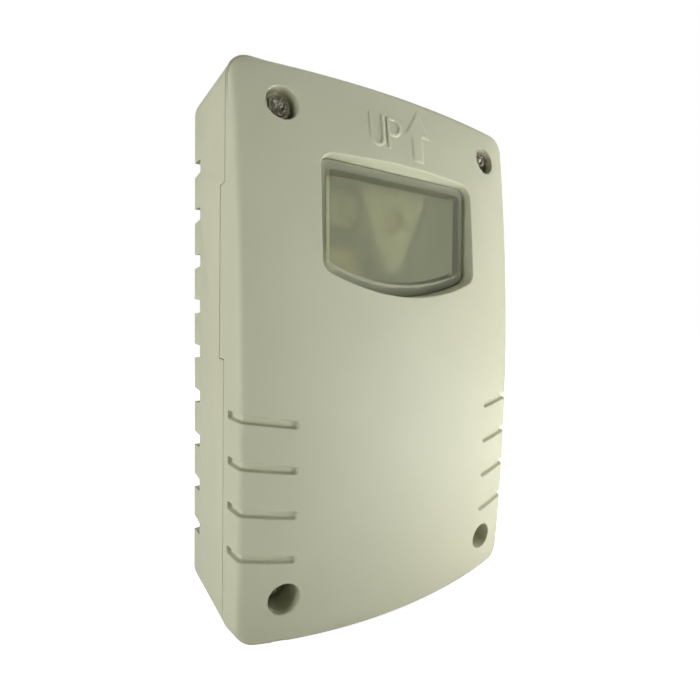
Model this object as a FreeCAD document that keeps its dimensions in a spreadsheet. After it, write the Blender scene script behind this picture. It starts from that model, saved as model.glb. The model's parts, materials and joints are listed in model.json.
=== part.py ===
import FreeCAD, Part
import math
import os
import re
import Sketcher
from FreeCAD import Placement, Rotation, Vector

# A twilight switch for a wall: a base with a notched rim, a domed cover with a frosted window,
# and a light sensor, a threshold trimmer, a relay and terminals on the board inside.
# X is to the right seen from the room and Z is up. The origin lies on the wall, midway between the
# upper and the lower cover screws. A depth is a distance from the wall towards the room, along -Y,
# and a level is a height along Z. All sizes are in millimetres, all angles in degrees.

SIZES = {
    # outline of the housing, seen from the room
    "width": 71.9,
    "top_level": 55.2,
    "top_radius": 820,
    "bottom_level": -57.75,
    "bottom_radius": 205,
    "corner_radius": 4.8,
    # depth of the housing and its domed front
    "parting_depth": 21.3,
    "seam_gap": 0.2,
    "dome_rise": 10.6,
    "dome_level": -20.4,
    "side_drop_share": 0.26906,
    "top_drop_share": 0.54453,
    "edge_share": 0.3585,
    "base_draft": 0.5,
    "cover_draft": 4,
    "wall": 2.2,
    "recess_depth": 5,
    "floor_thickness": 2,
    # tongue, seal and side tabs where the cover meets the base
    "tongue_inset": 1.25,
    "tongue_length": 2,
    "seal_thickness": 0.8,
    "slide_gap": 0.1,
    "overrun": 1,
    "tab_low": -1,
    "tab_high": 31,
    "tab_length": 2.7,
    "tab_gap": 0.2,
    # notches in the rim at the wall
    "notch_count": 9,
    "notch_pitch": 9.83,
    "notch_level": -0.9,
    "notch_depth": 4.4,
    "notch_mouth": 3.1,
    "notch_end": 2.6,
    # grooves at the sides of the cover
    "groove_count": 4,
    "groove_start": 25.1,
    "groove_level": -12.7,
    "groove_pitch": 8.52,
    "groove_height": 1.55,
    "groove_depth": 0.9,
    "groove_ease": 0.4,
    "groove_slope": 9,
    "groove_drop": 7.3,
    # screws that hold the cover
    "screw_inset": 9.55,
    "screw_level": 46,
    "screw_sink": 9.8,
    "seat_thickness": 1.6,
    "screw_well_radius": 3.1,
    "well_wall": 1.4,
    "screw_head_radius": 2.5,
    "screw_head_height": 1.9,
    "screw_radius": 1.4,
    "screw_length": 12,
    "screw_slack": 0.3,
    "pilot_run": 0.5,
    "cross_span": 3,
    "cross_width": 0.8,
    "cross_depth": 1.1,
    "bore_gap": 0.05,
    "tower_radius": 4,
    # window in the cover, measured in its own slightly tilted plane
    "window_drop": 4.9,
    "window_level": 26.5,
    "window_tilt": 2,
    "window_half": 19.4,
    "window_top": 11.5,
    "window_bottom": 14.5,
    "window_bow": 44.7,
    "window_draft": 12,
    "window_corner": 2.6,
    "window_seat": 2.6,
    "frame_border": 2.6,
    "lens_flange": 2.1,
    "lens_flange_thickness": 1.5,
    "lens_gap": 0.15,
    "lens_step": 0.9,
    "lens_ring": 2,
    "lens_pocket": 3.3,
    "lens_bevel": 20,
    "lens_corner": 1.2,
    "lens_seal_thickness": 0.6,
    "lens_seal_land": 0.5,
    "window_reach": 8,
    "lens_wall": 2,
    # screw holes to the wall
    "mount_spacing": 86,
    "mount_hole_radius": 2.25,
    "mount_boss_radius": 4.5,
    "mount_boss_height": 2,
    # cable grommets in the bottom wall
    "grommet_side": 14,
    "grommet_room": 0.05,
    "grommet_gap": 0.1,
    "grommet_lip": 1.2,
    "grommet_flange": 1.2,
    "pad_border": 2.4,
    "pad_foot": 1.1,
    "pad_thickness": 3.2,
    "pad_margin": 0.6,
    "membrane": 0.8,
    "nipple_length": 3.5,
    "nipple_radius": 2.9,
    # circuit board
    "board_margin": 4.95,
    "board_low": -36.5,
    "board_high": 37.5,
    "board_depth": 10.5,
    "board_thickness": 1.6,
    "board_corner": 2,
    "post_inset": 4.2,
    "post_low": -31,
    "post_high": 32.5,
    "post_radius": 3,
    "board_screw_radius": 1,
    "board_slack": 0.2,
    "board_head_radius": 2.1,
    "board_head_height": 1.4,
    "board_screw_length": 5,
    # terminal block
    "pole_count": 4,
    "pole_pitch": 5,
    "terminal_low": -35.5,
    "terminal_size": 10.5,
    "terminal_height": 10,
    "terminal_margin": 0.4,
    "wire_bore": 3.9,
    "wire_bore_depth": 8.5,
    "wire_bore_start": 1.5,
    "wire_bore_height": 5,
    "clamp_gap": 0.1,
    "clamp_length": 5.5,
    "clamp_wall": 0.8,
    "clamp_screw_radius": 1.2,
    "clamp_head_radius": 1.6,
    "clamp_head_height": 1.8,
    "clamp_head_gap": 0.3,
    "clamp_screw_end": 2.2,
    "slot_width": 0.6,
    "slot_depth": 0.7,
    # relay
    "relay_x": -10,
    "relay_level": -9,
    "relay_width": 19,
    "relay_height": 15.4,
    "relay_drop": 4,
    "relay_wall": 0.8,
    "relay_base_thickness": 1.6,
    "yoke_thickness": 1,
    "yoke_width": 9,
    "yoke_side": 7,
    "yoke_margin": 1,
    "core_radius": 2.3,
    "core_side": 1,
    "armature_room": 3.4,
    "bobbin_radius": 5,
    "bobbin_flange": 0.7,
    "bobbin_wall": 0.6,
    "bobbin_step": 0.6,
    "winding_radius": 4.6,
    "armature_thickness": 0.9,
    "armature_gap": 0.12,
    "hinge_radius": 0.4,
    "hinge_slack": 0.04,
    "armature_travel": 3,
    "armature_reach": 11.7,
    "spring_thickness": 0.25,
    "spring_width": 3.2,
    "spring_hold": 6,
    "spring_margin": 0.2,
    "contact_arm": 13.4,
    "contact_radius": 0.9,
    "contact_height": 0.35,
    "contact_gap": 0.08,
    "strip_thickness": 0.5,
    # light sensor and its holder
    "sensor_x": 1.5,
    "sensor_level": 28.6,
    "sensor_radius": 2.6,
    "sensor_thickness": 2,
    "sensor_room": 5.8,
    "sensor_rim": 0.8,
    "sensor_flat": 2.2,
    "sensor_gap": 0.1,
    "sensor_ledge": 0.5,
    "holder_half_top": 8.8,
    "holder_half_tip": 1.6,
    "holder_corner": 0.8,
    "holder_top": 34.6,
    "holder_tip": 17.2,
    # trimmer with its dial
    "trimmer_x": -11.6,
    "trimmer_level": 29.4,
    "trimmer_radius": 4.9,
    "dial_radius": 3.4,
    "dial_room": 5.2,
    "dial_thickness": 2.8,
    "dial_shaft_radius": 1.5,
    "dial_shaft_length": 3.4,
    "dial_gap": 0.3,
    "dial_slot": 3.6,
    "dial_slot_width": 1,
    "dial_slot_depth": 1.1,
    "dial_mark_width": 0.8,
    "dial_mark_depth": 0.7,
    "shaft_gap": 0.05,
    # other components on the board
    "film_x": -12,
    "film_level": 19,
    "film_width": 10.5,
    "film_size": 5.5,
    "film_room": 6.3,
    "film_pitch": 7,
    "can_x": 13.6,
    "can_level": 28.6,
    "can_radius": 3.6,
    "can_room": 5.8,
    "varistor_x": 10.5,
    "varistor_level": 16.2,
    "varistor_room": 6.4,
    "varistor_thickness": 3.4,
    "fuse_inset": 10,
    "fuse_level": -22,
    "fuse_radius": 4.2,
    "fuse_height": 7.6,
    "resistor_x": 14,
    "resistor_level": 4,
    "resistor_radius": 1.2,
    "resistor_length": 6.4,
    "resistor_pitch": 4,
    "resistor_count": 3,
    "diode_x": 14,
    "diode_level": -9,
    "diode_radius": 1.35,
    "diode_length": 5,
    "diode_pitch": 4,
    "diode_count": 2,
    "lead_radius": 0.3,
    "wire_radius": 0.36,
    "lead_gap": 0.1,
    "lead_end": 1.6,
    "lead_root": 0.5,
    "lead_bend": 1.3,
    "stand_off": 0.1,
}

WORD = re.compile(r"[a-z][a-z_]*")
ROOMWARD = Rotation(Vector(1, 0, 0), 90)
SIDEWAYS = Rotation(Vector(0, 1, 0), 90)
UPRIGHT = Rotation()
DEPTHWISE = Vector(0, 1, 0)
STEEP = 0.8
PEG_SIDES = 8
STRIP_SHARES = (0.64, 0.27)

doc = FreeCAD.newDocument("photoelectric_switch")
sheet = doc.addObject("Spreadsheet::Sheet", "Sizes")
for row, (alias, amount) in enumerate(SIZES.items(), start=1):
    sheet.set(f"A{row}", alias)
    sheet.set(f"B{row}", str(amount))
    sheet.setAlias(f"B{row}", alias)
doc.recompute()

subparts = []


def formula(text):
    """The rule with each size's name pointed at its cell in the sheet."""
    return WORD.sub(lambda found: f"Sizes.{found[0]}" if found[0] in SIZES else found[0], text)


def bind(obj, **rules):
    for name, text in rules.items():
        obj.setExpression(name, formula(text))


def place(obj, x, depth, level, turn):
    obj.Placement = Placement(Vector(), turn)
    obj.setExpression("Placement.Base.x", formula(x))
    obj.setExpression("Placement.Base.y", formula(f"-({depth})"))
    obj.setExpression("Placement.Base.z", formula(level))


def rod(name, radius, x, level, start, end):
    """A round bar along the depth, from start to end."""
    obj = doc.addObject("Part::Cylinder", name)
    bind(obj, Radius=radius, Height=f"({end}) - ({start})")
    place(obj, x, start, level, ROOMWARD)
    return obj


def post(name, radius, x, depth, low, high):
    """A round bar that stands upright, from low to high."""
    obj = doc.addObject("Part::Cylinder", name)
    bind(obj, Radius=radius, Height=f"({high}) - ({low})")
    place(obj, x, depth, low, UPRIGHT)
    return obj


def bar(name, radius, left, right, level, depth):
    """A round bar that lies from left to right."""
    obj = doc.addObject("Part::Cylinder", name)
    bind(obj, Radius=radius, Height=f"({right}) - ({left})")
    place(obj, left, depth, level, SIDEWAYS)
    return obj


def peg(name, radius, x, level, start, end):
    """A slender bar along the depth with flat sides, for leads, shanks, their holes and inner posts."""
    obj = doc.addObject("Part::Prism", name)
    obj.Polygon = PEG_SIDES
    bind(obj, Circumradius=radius, Height=f"({end}) - ({start})")
    place(obj, x, start, level, ROOMWARD)
    return obj


def wire(name, radius, left, right, level, depth):
    """A slender bar with flat sides that lies from left to right."""
    obj = doc.addObject("Part::Prism", name)
    obj.Polygon = PEG_SIDES
    bind(obj, Circumradius=radius, Height=f"({right}) - ({left})")
    place(obj, left, depth, level, SIDEWAYS)
    return obj


def block(name, left, right, low, high, start, end):
    obj = doc.addObject("Part::Box", name)
    bind(obj, Length=f"({right}) - ({left})", Width=f"({end}) - ({start})", Height=f"({high}) - ({low})")
    place(obj, left, end, low, UPRIGHT)
    return obj


def fuse(name, parts):
    obj = doc.addObject("Part::MultiFuse", name)
    obj.Shapes = parts
    obj.Refine = True
    return obj


def cut(name, solid, tools):
    obj = doc.addObject("Part::Cut", name)
    obj.Base = solid
    obj.Tool = tools[0] if len(tools) == 1 else fuse(name + "_tools", tools)
    obj.Refine = True
    return obj


def common(name, first, second):
    obj = doc.addObject("Part::Common", name)
    obj.Base = first
    obj.Tool = second
    return obj


def group(name, parts):
    obj = doc.addObject("Part::Compound", name)
    obj.Links = parts
    return obj


def keep(obj, label):
    """Names a finished sub-part, whose file takes its label."""
    obj.Label = label
    subparts.append(obj)


def body(name):
    return doc.addObject("PartDesign::Body", name)


def sketch(owner, name, role, offset="0"):
    """A sketch on one of the body's own origin planes, moved along that plane's normal by offset."""
    obj = owner.newObject("Sketcher::SketchObject", name)
    face = next(item for item in owner.Origin.OriginFeatures if item.Role == role)
    obj.AttachmentSupport = [(face, "")]
    obj.MapMode = "FlatFace"
    bind(obj, **{"AttachmentOffset.Base.z": offset})
    return obj


def dimension(sk, name, text, kind, *where):
    """A named dimension of a sketch, driven by a rule. The value only starts the solver."""
    index = sk.addConstraint(Sketcher.Constraint(kind, *where))
    sk.renameConstraint(index, name)
    sk.setExpression(f"Constraints.{name}", formula(text))


def rectangle(sk, left, right, low, high):
    """A closed rectangle whose four sides are dimensioned from the sketch's origin."""
    first = sk.GeometryCount
    corners = [Vector(-1, -1), Vector(1, -1), Vector(1, 1), Vector(-1, 1)]
    for index, start in enumerate(corners):
        sk.addGeometry(Part.LineSegment(start, corners[(index + 1) % 4]))
    for index in range(4):
        here, after = first + index, first + (index + 1) % 4
        sk.addConstraint(Sketcher.Constraint("Coincident", here, 2, after, 1))
        sk.addConstraint(Sketcher.Constraint(("Horizontal", "Vertical")[index % 2], here))
    tag = f"r{first}_"
    dimension(sk, tag + "left", left, "DistanceX", -1, 1, first, 1, -1)
    dimension(sk, tag + "right", right, "DistanceX", -1, 1, first + 2, 1, 1)
    dimension(sk, tag + "low", low, "DistanceY", -1, 1, first, 1, -1)
    dimension(sk, tag + "high", high, "DistanceY", -1, 1, first + 2, 1, 1)


def circle(sk, radius, x="0", y="0"):
    index = sk.GeometryCount
    sk.addGeometry(Part.Circle(Vector(0, 0), Vector(0, 0, 1), 1))
    dimension(sk, f"c{index}_radius", radius, "Radius", index, 1)
    dimension(sk, f"c{index}_x", x, "DistanceX", -1, 1, index, 3, 0)
    dimension(sk, f"c{index}_y", y, "DistanceY", -1, 1, index, 3, 0)


def pad(owner, name, sk, length, draft="0"):
    obj = owner.newObject("PartDesign::Pad", name)
    obj.Profile = sk
    bind(obj, Length=length, TaperAngle=draft)
    return obj


def pocket(owner, name, sk, length, reverse=False):
    """A pocket against the sketch's normal, or along it when reversed."""
    obj = owner.newObject("PartDesign::Pocket", name)
    obj.Profile = sk
    obj.Reversed = reverse
    bind(obj, Length=length)
    return obj


def revolve(owner, name, sk):
    obj = owner.newObject("PartDesign::Revolution", name)
    obj.Profile = sk
    obj.ReferenceAxis = (sk, ["V_Axis"])
    obj.Angle = 360
    return obj


def polygon(sk, points):
    """A closed outline of straight sides. Each point is a pair of rules and has its own dimensions."""
    first = sk.GeometryCount
    count = len(points)
    step = 2 * math.pi / count
    ring = [Vector(math.cos(step * index), math.sin(step * index)) for index in range(count)]
    for index, start in enumerate(ring):
        sk.addGeometry(Part.LineSegment(start, ring[(index + 1) % count]))
    for index, (x, y) in enumerate(points):
        here = first + index
        sk.addConstraint(Sketcher.Constraint("Coincident", here, 2, first + (index + 1) % count, 1))
        dimension(sk, f"p{here}_x", x, "DistanceX", -1, 1, here, 1, ring[index].x)
        dimension(sk, f"p{here}_y", y, "DistanceY", -1, 1, here, 1, ring[index].y)


def edges_along(shape, axis):
    """Names of the edges that run mostly along an axis, such as the four corners of a block."""
    names = []
    for index, edge in enumerate(shape.Edges, start=1):
        run = edge.Vertexes[-1].Point - edge.Vertexes[0].Point
        if abs(run.dot(axis)) > STEEP * run.Length:
            names.append(f"Edge{index}")
    return names


def round_corners(owner, name, solid, axis, radius):
    doc.recompute()
    obj = owner.newObject("PartDesign::Fillet", name)
    obj.Base = (solid, edges_along(solid.Shape, axis))
    bind(obj, Radius=radius)


# Housing outline and dome, from which the base, the cover, the seal and the grooves are all made

PARTING_DRAW = "parting_depth * tan(base_draft)"
DOME_DEPTH = "(parting_depth + dome_rise)"
PAST_DOME = f"{DOME_DEPTH} + overrun"
SIDE_DROP = "(dome_rise * side_drop_share)"
TOP_DROP = "(dome_rise * top_drop_share)"
SIDE_RADIUS = f"((width / 2)^2 / (2 * {SIDE_DROP}) + {SIDE_DROP} / 2)"
LONG_RADIUS = f"((top_level - dome_level)^2 / (2 * {TOP_DROP}) + {TOP_DROP} / 2)"


def bowed_side(sk, apex, radius, half, sign):
    """The arc of the top (sign 1) or the bottom (sign -1) edge, centred on the middle plane."""
    index = sk.GeometryCount
    reach = math.degrees(math.asin(half / radius))
    middle = 90 * sign
    centre = Vector(0, apex - sign * radius)
    arc = Part.ArcOfCircle(
        Part.Circle(centre, Vector(0, 0, 1), radius),
        math.radians(middle - reach),
        math.radians(middle + reach),
    )
    sk.addGeometry(arc)
    sk.addConstraint(Sketcher.Constraint("PointOnObject", index, 3, -2))
    return index


def outline_block(name, inset, start, end, draft="0"):
    """The housing's outline drawn in by inset, as a block from start to end in depth."""
    owner = body(name)
    sk = sketch(owner, name + "_outline", "XZ_Plane", start)
    half = SIZES["width"] / 2
    top, low = SIZES["top_level"], SIZES["bottom_level"]
    upper = bowed_side(sk, top, SIZES["top_radius"], half, 1)
    lower = bowed_side(sk, low, SIZES["bottom_radius"], half, -1)
    left = sk.GeometryCount
    right = left + 1
    sk.addGeometry(Part.LineSegment(Vector(-half, top), Vector(-half, low)))
    sk.addGeometry(Part.LineSegment(Vector(half, low), Vector(half, top)))
    for here, end_here, there, end_there in (
        (upper, 2, left, 1),
        (left, 2, lower, 1),
        (lower, 2, right, 1),
        (right, 2, upper, 1),
    ):
        sk.addConstraint(Sketcher.Constraint("Coincident", here, end_here, there, end_there))
    sk.addConstraint(Sketcher.Constraint("Vertical", left))
    sk.addConstraint(Sketcher.Constraint("Vertical", right))
    dimension(sk, "left_side", f"-(width / 2 - ({inset}))", "DistanceX", -1, 1, left, 1, -half)
    dimension(sk, "right_side", f"width / 2 - ({inset})", "DistanceX", -1, 1, right, 1, half)
    dimension(sk, "top_bow", f"top_radius - ({inset})", "Radius", upper, SIZES["top_radius"])
    dimension(sk, "low_bow", f"bottom_radius - ({inset})", "Radius", lower, SIZES["bottom_radius"])
    top_centre, low_centre = top - SIZES["top_radius"], low + SIZES["bottom_radius"]
    dimension(sk, "top_centre", "top_level - top_radius", "DistanceY", -1, 1, upper, 3, top_centre)
    dimension(sk, "low_centre", "bottom_level + bottom_radius", "DistanceY", -1, 1, lower, 3, low_centre)
    solid = pad(owner, name + "_pad", sk, f"({end}) - ({start})", draft)
    round_corners(owner, name + "_corners", solid, DEPTHWISE, f"corner_radius - ({inset})")
    return owner


def domed_block(name, inset, start, draft="0", drawn="0"):
    """An outline block whose front is the dome drawn in by inset."""
    dome = doc.addObject("Part::Torus", name + "_dome")
    bind(dome, Radius1=f"{LONG_RADIUS} - {SIDE_RADIUS}", Radius2=f"{SIDE_RADIUS} - ({inset})")
    place(dome, "0", f"{DOME_DEPTH} - {LONG_RADIUS}", "dome_level", SIDEWAYS)
    column = outline_block(name + "_column", f"({inset}) + ({drawn})", start, PAST_DOME, draft)
    return common(name, column, dome)


def rim_edges(shape):
    """Numbers of the edges where the dome meets another face."""
    numbers = []
    for index, edge in enumerate(shape.Edges, start=1):
        faces = [face for face in shape.Faces if any(edge.isSame(other) for other in face.Edges)]
        domed = [isinstance(face.Surface, Part.Toroid) for face in faces]
        if len(faces) == 2 and domed[0] != domed[1]:
            numbers.append(index)
    return numbers


def round_front(name, solid, radius):
    """Rounds the edges between a domed block's front and its sides with two strips."""
    base = solid
    for strip, share in enumerate(STRIP_SHARES):
        doc.recompute()
        leg = radius * share
        obj = doc.addObject("Part::Chamfer", f"{name}_{strip}")
        obj.Base = base
        obj.Edges = [(number, leg, leg) for number in rim_edges(base.Shape)]
        base = obj
    return base


def ring(name, outer, inner, start, end):
    """A band of the housing's outline between two insets."""
    outside = outline_block(name + "_out", outer, start, end)
    return cut(name, outside, [outline_block(name + "_in", inner, start, end)])


SCREW_SIDE = "(width / 2 - screw_inset)"
SCREW_SEAT = f"({DOME_DEPTH} - screw_sink)"
WINDOW_DEPTH = f"({DOME_DEPTH} - window_drop)"
GROOVE_BACK = f"({DOME_DEPTH} - groove_drop)"
BOARD_HALF = "(width / 2 - board_margin)"
POST_SIDE = "(width / 2 - board_margin - post_inset)"
CORNERS = [(sign + SCREW_SIDE, level) for sign in ("-", "") for level in ("-screw_level", "screw_level")]
POSTS = [(sign + POST_SIDE, level) for sign in ("-", "") for level in ("post_low", "post_high")]
MOUNTS = ["-mount_spacing / 2", "mount_spacing / 2"]
GROMMETS = ["-grommet_side", "grommet_side"]
BOARD_FRONT = "board_depth + board_thickness"
SEAL_START = "parting_depth - tongue_length - seal_thickness"
PAST_PARTING = "parting_depth + overrun"
FLOOR_FRONT = "recess_depth + floor_thickness"
GROMMET_DEPTH = f"(({FLOOR_FRONT} + {SEAL_START}) / 2)"
LIP_RADIUS = f"(({SEAL_START} - ({FLOOR_FRONT})) / 2 - grommet_room)"
NECK_RADIUS = f"({LIP_RADIUS} - grommet_lip)"
HOLE_RADIUS = f"({NECK_RADIUS} + grommet_gap)"


def notch_bars():
    """Bars across the whole width that cut the rim's notches on both sides at once."""
    owner = body("notch_bars")
    sk = sketch(owner, "notch_profile", "YZ_Plane", "-width")
    centre = "notch_level - notch_pitch * (notch_count - 1) / 2"
    polygon(
        sk,
        [
            ("overrun", f"{centre} - notch_mouth / 2"),
            ("overrun", f"{centre} + notch_mouth / 2"),
            ("0", f"{centre} + notch_mouth / 2"),
            ("-notch_depth", f"{centre} + notch_end / 2"),
            ("-notch_depth", f"{centre} - notch_end / 2"),
            ("0", f"{centre} - notch_mouth / 2"),
        ],
    )
    bar = pad(owner, "notch_bar", sk, "2 * width")
    pattern = owner.newObject("PartDesign::LinearPattern", "notch_row")
    pattern.Originals = [bar]
    pattern.Direction = (sk, ["V_Axis"])
    bind(pattern, Length="notch_pitch * (notch_count - 1)", Occurrences="notch_count")
    owner.Tip = pattern
    return owner


def tab_blocks(name, gap, depth):
    """Blocks over the outer half of both side walls, where the cover's tabs reach back."""
    blocks = []
    for side, sign in (("left", "-1"), ("right", "1")):
        inner = "width / 2 - tongue_inset"
        outer = "width / 2 + overrun"
        edges = (f"{sign} * ({outer})", f"{sign} * ({inner})")
        low_x, high_x = edges if sign == "-1" else edges[::-1]
        low, high = f"tab_low - ({gap})", f"tab_high + {gap}"
        blocks.append(block(f"{name}_{side}", low_x, high_x, low, high, depth, PAST_PARTING))
    return blocks


def make_base():
    """The rear half of the housing: a tray with a hollow behind its floor and a notched rim."""
    column = outline_block("base_block", "0", "0", "parting_depth - seam_gap", "-base_draft")
    tray = outline_block("tray_hollow", "wall", FLOOR_FRONT, PAST_PARTING)
    hollow = outline_block("rear_hollow", "wall", "-overrun", "recess_depth")
    rebate = outline_block("rebate", "tongue_inset - slide_gap", SEAL_START, PAST_PARTING)
    slots = tab_blocks("tab_slot", "tab_gap", "parting_depth - tab_length - tab_gap")
    shell = cut("base_shell", column, [tray, hollow, rebate, notch_bars()] + slots)
    added = [shell]
    bored = []
    for index, (x, level) in enumerate(CORNERS):
        top = f"{SCREW_SEAT} - seat_thickness - screw_slack"
        added.append(peg(f"screw_tower_{index}", "tower_radius", x, level, "recess_depth", top))
        span = (f"{SCREW_SEAT} - screw_length - pilot_run", f"{SCREW_SEAT}")
        bored.append(peg(f"screw_pilot_{index}", "screw_radius + bore_gap", x, level, *span))
    for index, (x, level) in enumerate(POSTS):
        added.append(peg(f"board_post_{index}", "post_radius", x, level, "recess_depth", "board_depth"))
        low = f"{BOARD_FRONT} - board_screw_length - pilot_run"
        radius = "board_screw_radius + bore_gap"
        bored.append(peg(f"board_pilot_{index}", radius, x, level, low, "board_depth + overrun"))
    for index, level in enumerate(MOUNTS):
        front = f"{FLOOR_FRONT} + mount_boss_height"
        added.append(rod(f"mount_boss_{index}", "mount_boss_radius", "0", level, "0", front))
        span = ("-overrun", f"{front} + overrun")
        bored.append(rod(f"mount_hole_{index}", "mount_hole_radius", "0", level, *span))
    for index, x in enumerate(GROMMETS):
        centre = (x, GROMMET_DEPTH)
        foot = ("bottom_level", "bottom_level + pad_foot")
        added.append(post(f"grommet_foot_{index}", f"{HOLE_RADIUS} + pad_border", *centre, *foot))
        side = f"({HOLE_RADIUS} + grommet_lip + pad_margin)"
        levels = ("bottom_level + pad_foot / 2", "bottom_level + pad_thickness")
        depths = ("recess_depth + floor_thickness / 2", f"{SEAL_START} - slide_gap")
        added.append(block(f"grommet_pad_{index}", f"{x} - {side}", f"{x} + {side}", *levels, *depths))
        span = ("bottom_level - overrun", "bottom_level + pad_thickness + overrun")
        bored.append(post(f"grommet_hole_{index}", HOLE_RADIUS, *centre, *span))
    keep(cut("rear_base_solid", fuse("base_built", added), bored), "rear_base")


def window_block(name, grow, start, end, corner, draft="0"):
    """The window's outline grown by grow, as a block between two heights above the lens panel's plane."""
    owner = body(name)
    sk = sketch(owner, name + "_outline", "XY_Plane", start)
    half, top = SIZES["window_half"], SIZES["window_top"]
    bottom = -SIZES["window_bottom"]
    lower = bowed_side(sk, bottom, SIZES["window_bow"], half, -1)
    left = sk.GeometryCount
    roof, right = left + 1, left + 2
    sk.addGeometry(Part.LineSegment(Vector(-half, top), Vector(-half, bottom)))
    sk.addGeometry(Part.LineSegment(Vector(half, top), Vector(-half, top)))
    sk.addGeometry(Part.LineSegment(Vector(half, bottom), Vector(half, top)))
    for here, end_here, there, end_there in (
        (left, 2, lower, 1),
        (lower, 2, right, 1),
        (right, 2, roof, 1),
        (roof, 2, left, 1),
    ):
        sk.addConstraint(Sketcher.Constraint("Coincident", here, end_here, there, end_there))
    sk.addConstraint(Sketcher.Constraint("Vertical", left))
    sk.addConstraint(Sketcher.Constraint("Horizontal", roof))
    sk.addConstraint(Sketcher.Constraint("Vertical", right))
    dimension(sk, "left_side", f"-(window_half + {grow})", "DistanceX", -1, 1, left, 1, -half)
    dimension(sk, "right_side", f"window_half + {grow}", "DistanceX", -1, 1, right, 1, half)
    dimension(sk, "roof_level", f"window_top + {grow}", "DistanceY", -1, 1, roof, 1, top)
    dimension(sk, "bow", f"window_bow + {grow}", "Radius", lower, SIZES["window_bow"])
    bow_centre = bottom + SIZES["window_bow"]
    dimension(sk, "bow_centre", "window_bow - window_bottom", "DistanceY", -1, 1, lower, 3, bow_centre)
    solid = pad(owner, name + "_pad", sk, f"({end}) - ({start})", draft)
    round_corners(owner, name + "_corners", solid, Vector(0, 0, 1), corner)
    turn = Rotation(Vector(1, 0, 0), 90 - SIZES["window_tilt"])
    place(owner, "0", WINDOW_DEPTH, "window_level", turn)
    owner.setExpression("Placement.Rotation.Angle", formula("90 - window_tilt"))
    return owner


def groove_slots():
    """Slanted slots at the right side, which cut the cover only as deep as the groove band."""
    owner = body("groove_slots")
    sk = sketch(owner, "groove_outline", "XZ_Plane", GROOVE_BACK)
    rise = "tan(groove_slope)"
    reach = "(width / 2 + overrun - groove_start)"
    thick = "groove_height / 2 / cos(groove_slope)"
    polygon(
        sk,
        [
            ("groove_start", f"groove_level - {thick}"),
            (f"groove_start + {reach}", f"groove_level + {reach} * {rise} - {thick}"),
            (f"groove_start + {reach}", f"groove_level + {reach} * {rise} + {thick}"),
            ("groove_start", f"groove_level + {thick}"),
        ],
    )
    arm = pad(owner, "groove_arm", sk, "groove_drop + overrun")
    end = sketch(owner, "groove_end", "XZ_Plane", GROOVE_BACK)
    circle(end, "groove_height / 2", "groove_start", "groove_level")
    nose = pad(owner, "groove_nose", end, "groove_drop + overrun")
    pattern = owner.newObject("PartDesign::LinearPattern", "groove_row")
    pattern.Originals = [arm, nose]
    pattern.Direction = (sk, ["V_Axis"])
    pattern.Reversed = True
    bind(pattern, Length="groove_pitch * (groove_count - 1)", Occurrences="groove_count")
    owner.Tip = pattern
    return owner


def make_cover():
    """The moulded front: a domed shell with screw wells, window frame, grooves, tongue and side tabs."""
    blank = domed_block("cover_blank", "0", "parting_depth", "-cover_draft", PARTING_DRAW)
    edge_radius = SIZES["dome_rise"] * SIZES["edge_share"]
    form = round_front("cover_form", blank, edge_radius)
    hollow = domed_block("cover_hollow", "wall", "parting_depth - overrun")
    shell = cut("cover_shell", form, [hollow])
    lugs = []
    bored = []
    for index, (x, level) in enumerate(CORNERS):
        radius = "screw_well_radius + well_wall"
        seat_back = f"{SCREW_SEAT} - seat_thickness"
        lugs.append(peg(f"well_{index}", radius, x, level, seat_back, DOME_DEPTH))
        bored.append(rod(f"well_bore_{index}", "screw_well_radius", x, level, SCREW_SEAT, PAST_DOME))
        hole = "screw_radius + screw_slack"
        bored.append(peg(f"well_hole_{index}", hole, x, level, f"{seat_back} - overrun", PAST_DOME))
    corner = "window_corner + frame_border"
    frame = window_block("window_frame", "frame_border", "-window_seat", "window_reach", corner)
    rear_skin = outline_block("rear_skin", "wall / 2", "0", PAST_DOME)
    inner = common("lugs_in_form", fuse("lugs", lugs + [frame]), dome_with(rear_skin))
    tongue = ring("tongue", "tongue_inset", "wall", "parting_depth - tongue_length", PAST_PARTING)
    skirt = outline_block("tab_skirt", PARTING_DRAW, "parting_depth - tab_length", "parting_depth")
    tabs = common("tabs", skirt, fuse("tab_pair", tab_blocks("tab", "0", "parting_depth - tab_length")))
    span = ("-window_seat - overrun", "overrun - lens_step")
    throat = window_block("window_throat", "0", *span, "window_corner")
    span = ("-lens_step", "window_reach")
    opening = window_block("window_opening", "0", *span, "window_corner", "window_draft")
    form_inner = domed_block("groove_floor", "groove_depth", "parting_depth", "-cover_draft", PARTING_DRAW)
    floor_radius = edge_radius - SIZES["groove_depth"] - SIZES["groove_ease"]
    floor = round_front("groove_floor_form", form_inner, floor_radius)
    band = cut("groove_band", form, [floor])
    right = groove_slots()
    left = doc.addObject("Part::Mirroring", "groove_slots_left")
    left.Source = right
    left.Base = Vector()
    left.Normal = Vector(1, 0, 0)
    grooves = common("grooves", band, fuse("all_slots", [right, left]))
    built = fuse("cover_built", [shell, inner, tongue, tabs])
    keep(cut("front_cover_solid", built, bored + [throat, opening, grooves]), "front_cover")


def dome_with(column):
    """What lies inside both a column and the dome's middle skin."""
    dome = doc.addObject("Part::Torus", "skin_dome")
    bind(dome, Radius1=f"{LONG_RADIUS} - {SIDE_RADIUS}", Radius2=f"{SIDE_RADIUS} - wall / 2")
    place(dome, "0", f"{DOME_DEPTH} - {LONG_RADIUS}", "dome_level", SIDEWAYS)
    return common("skin_space", column, dome)


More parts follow.
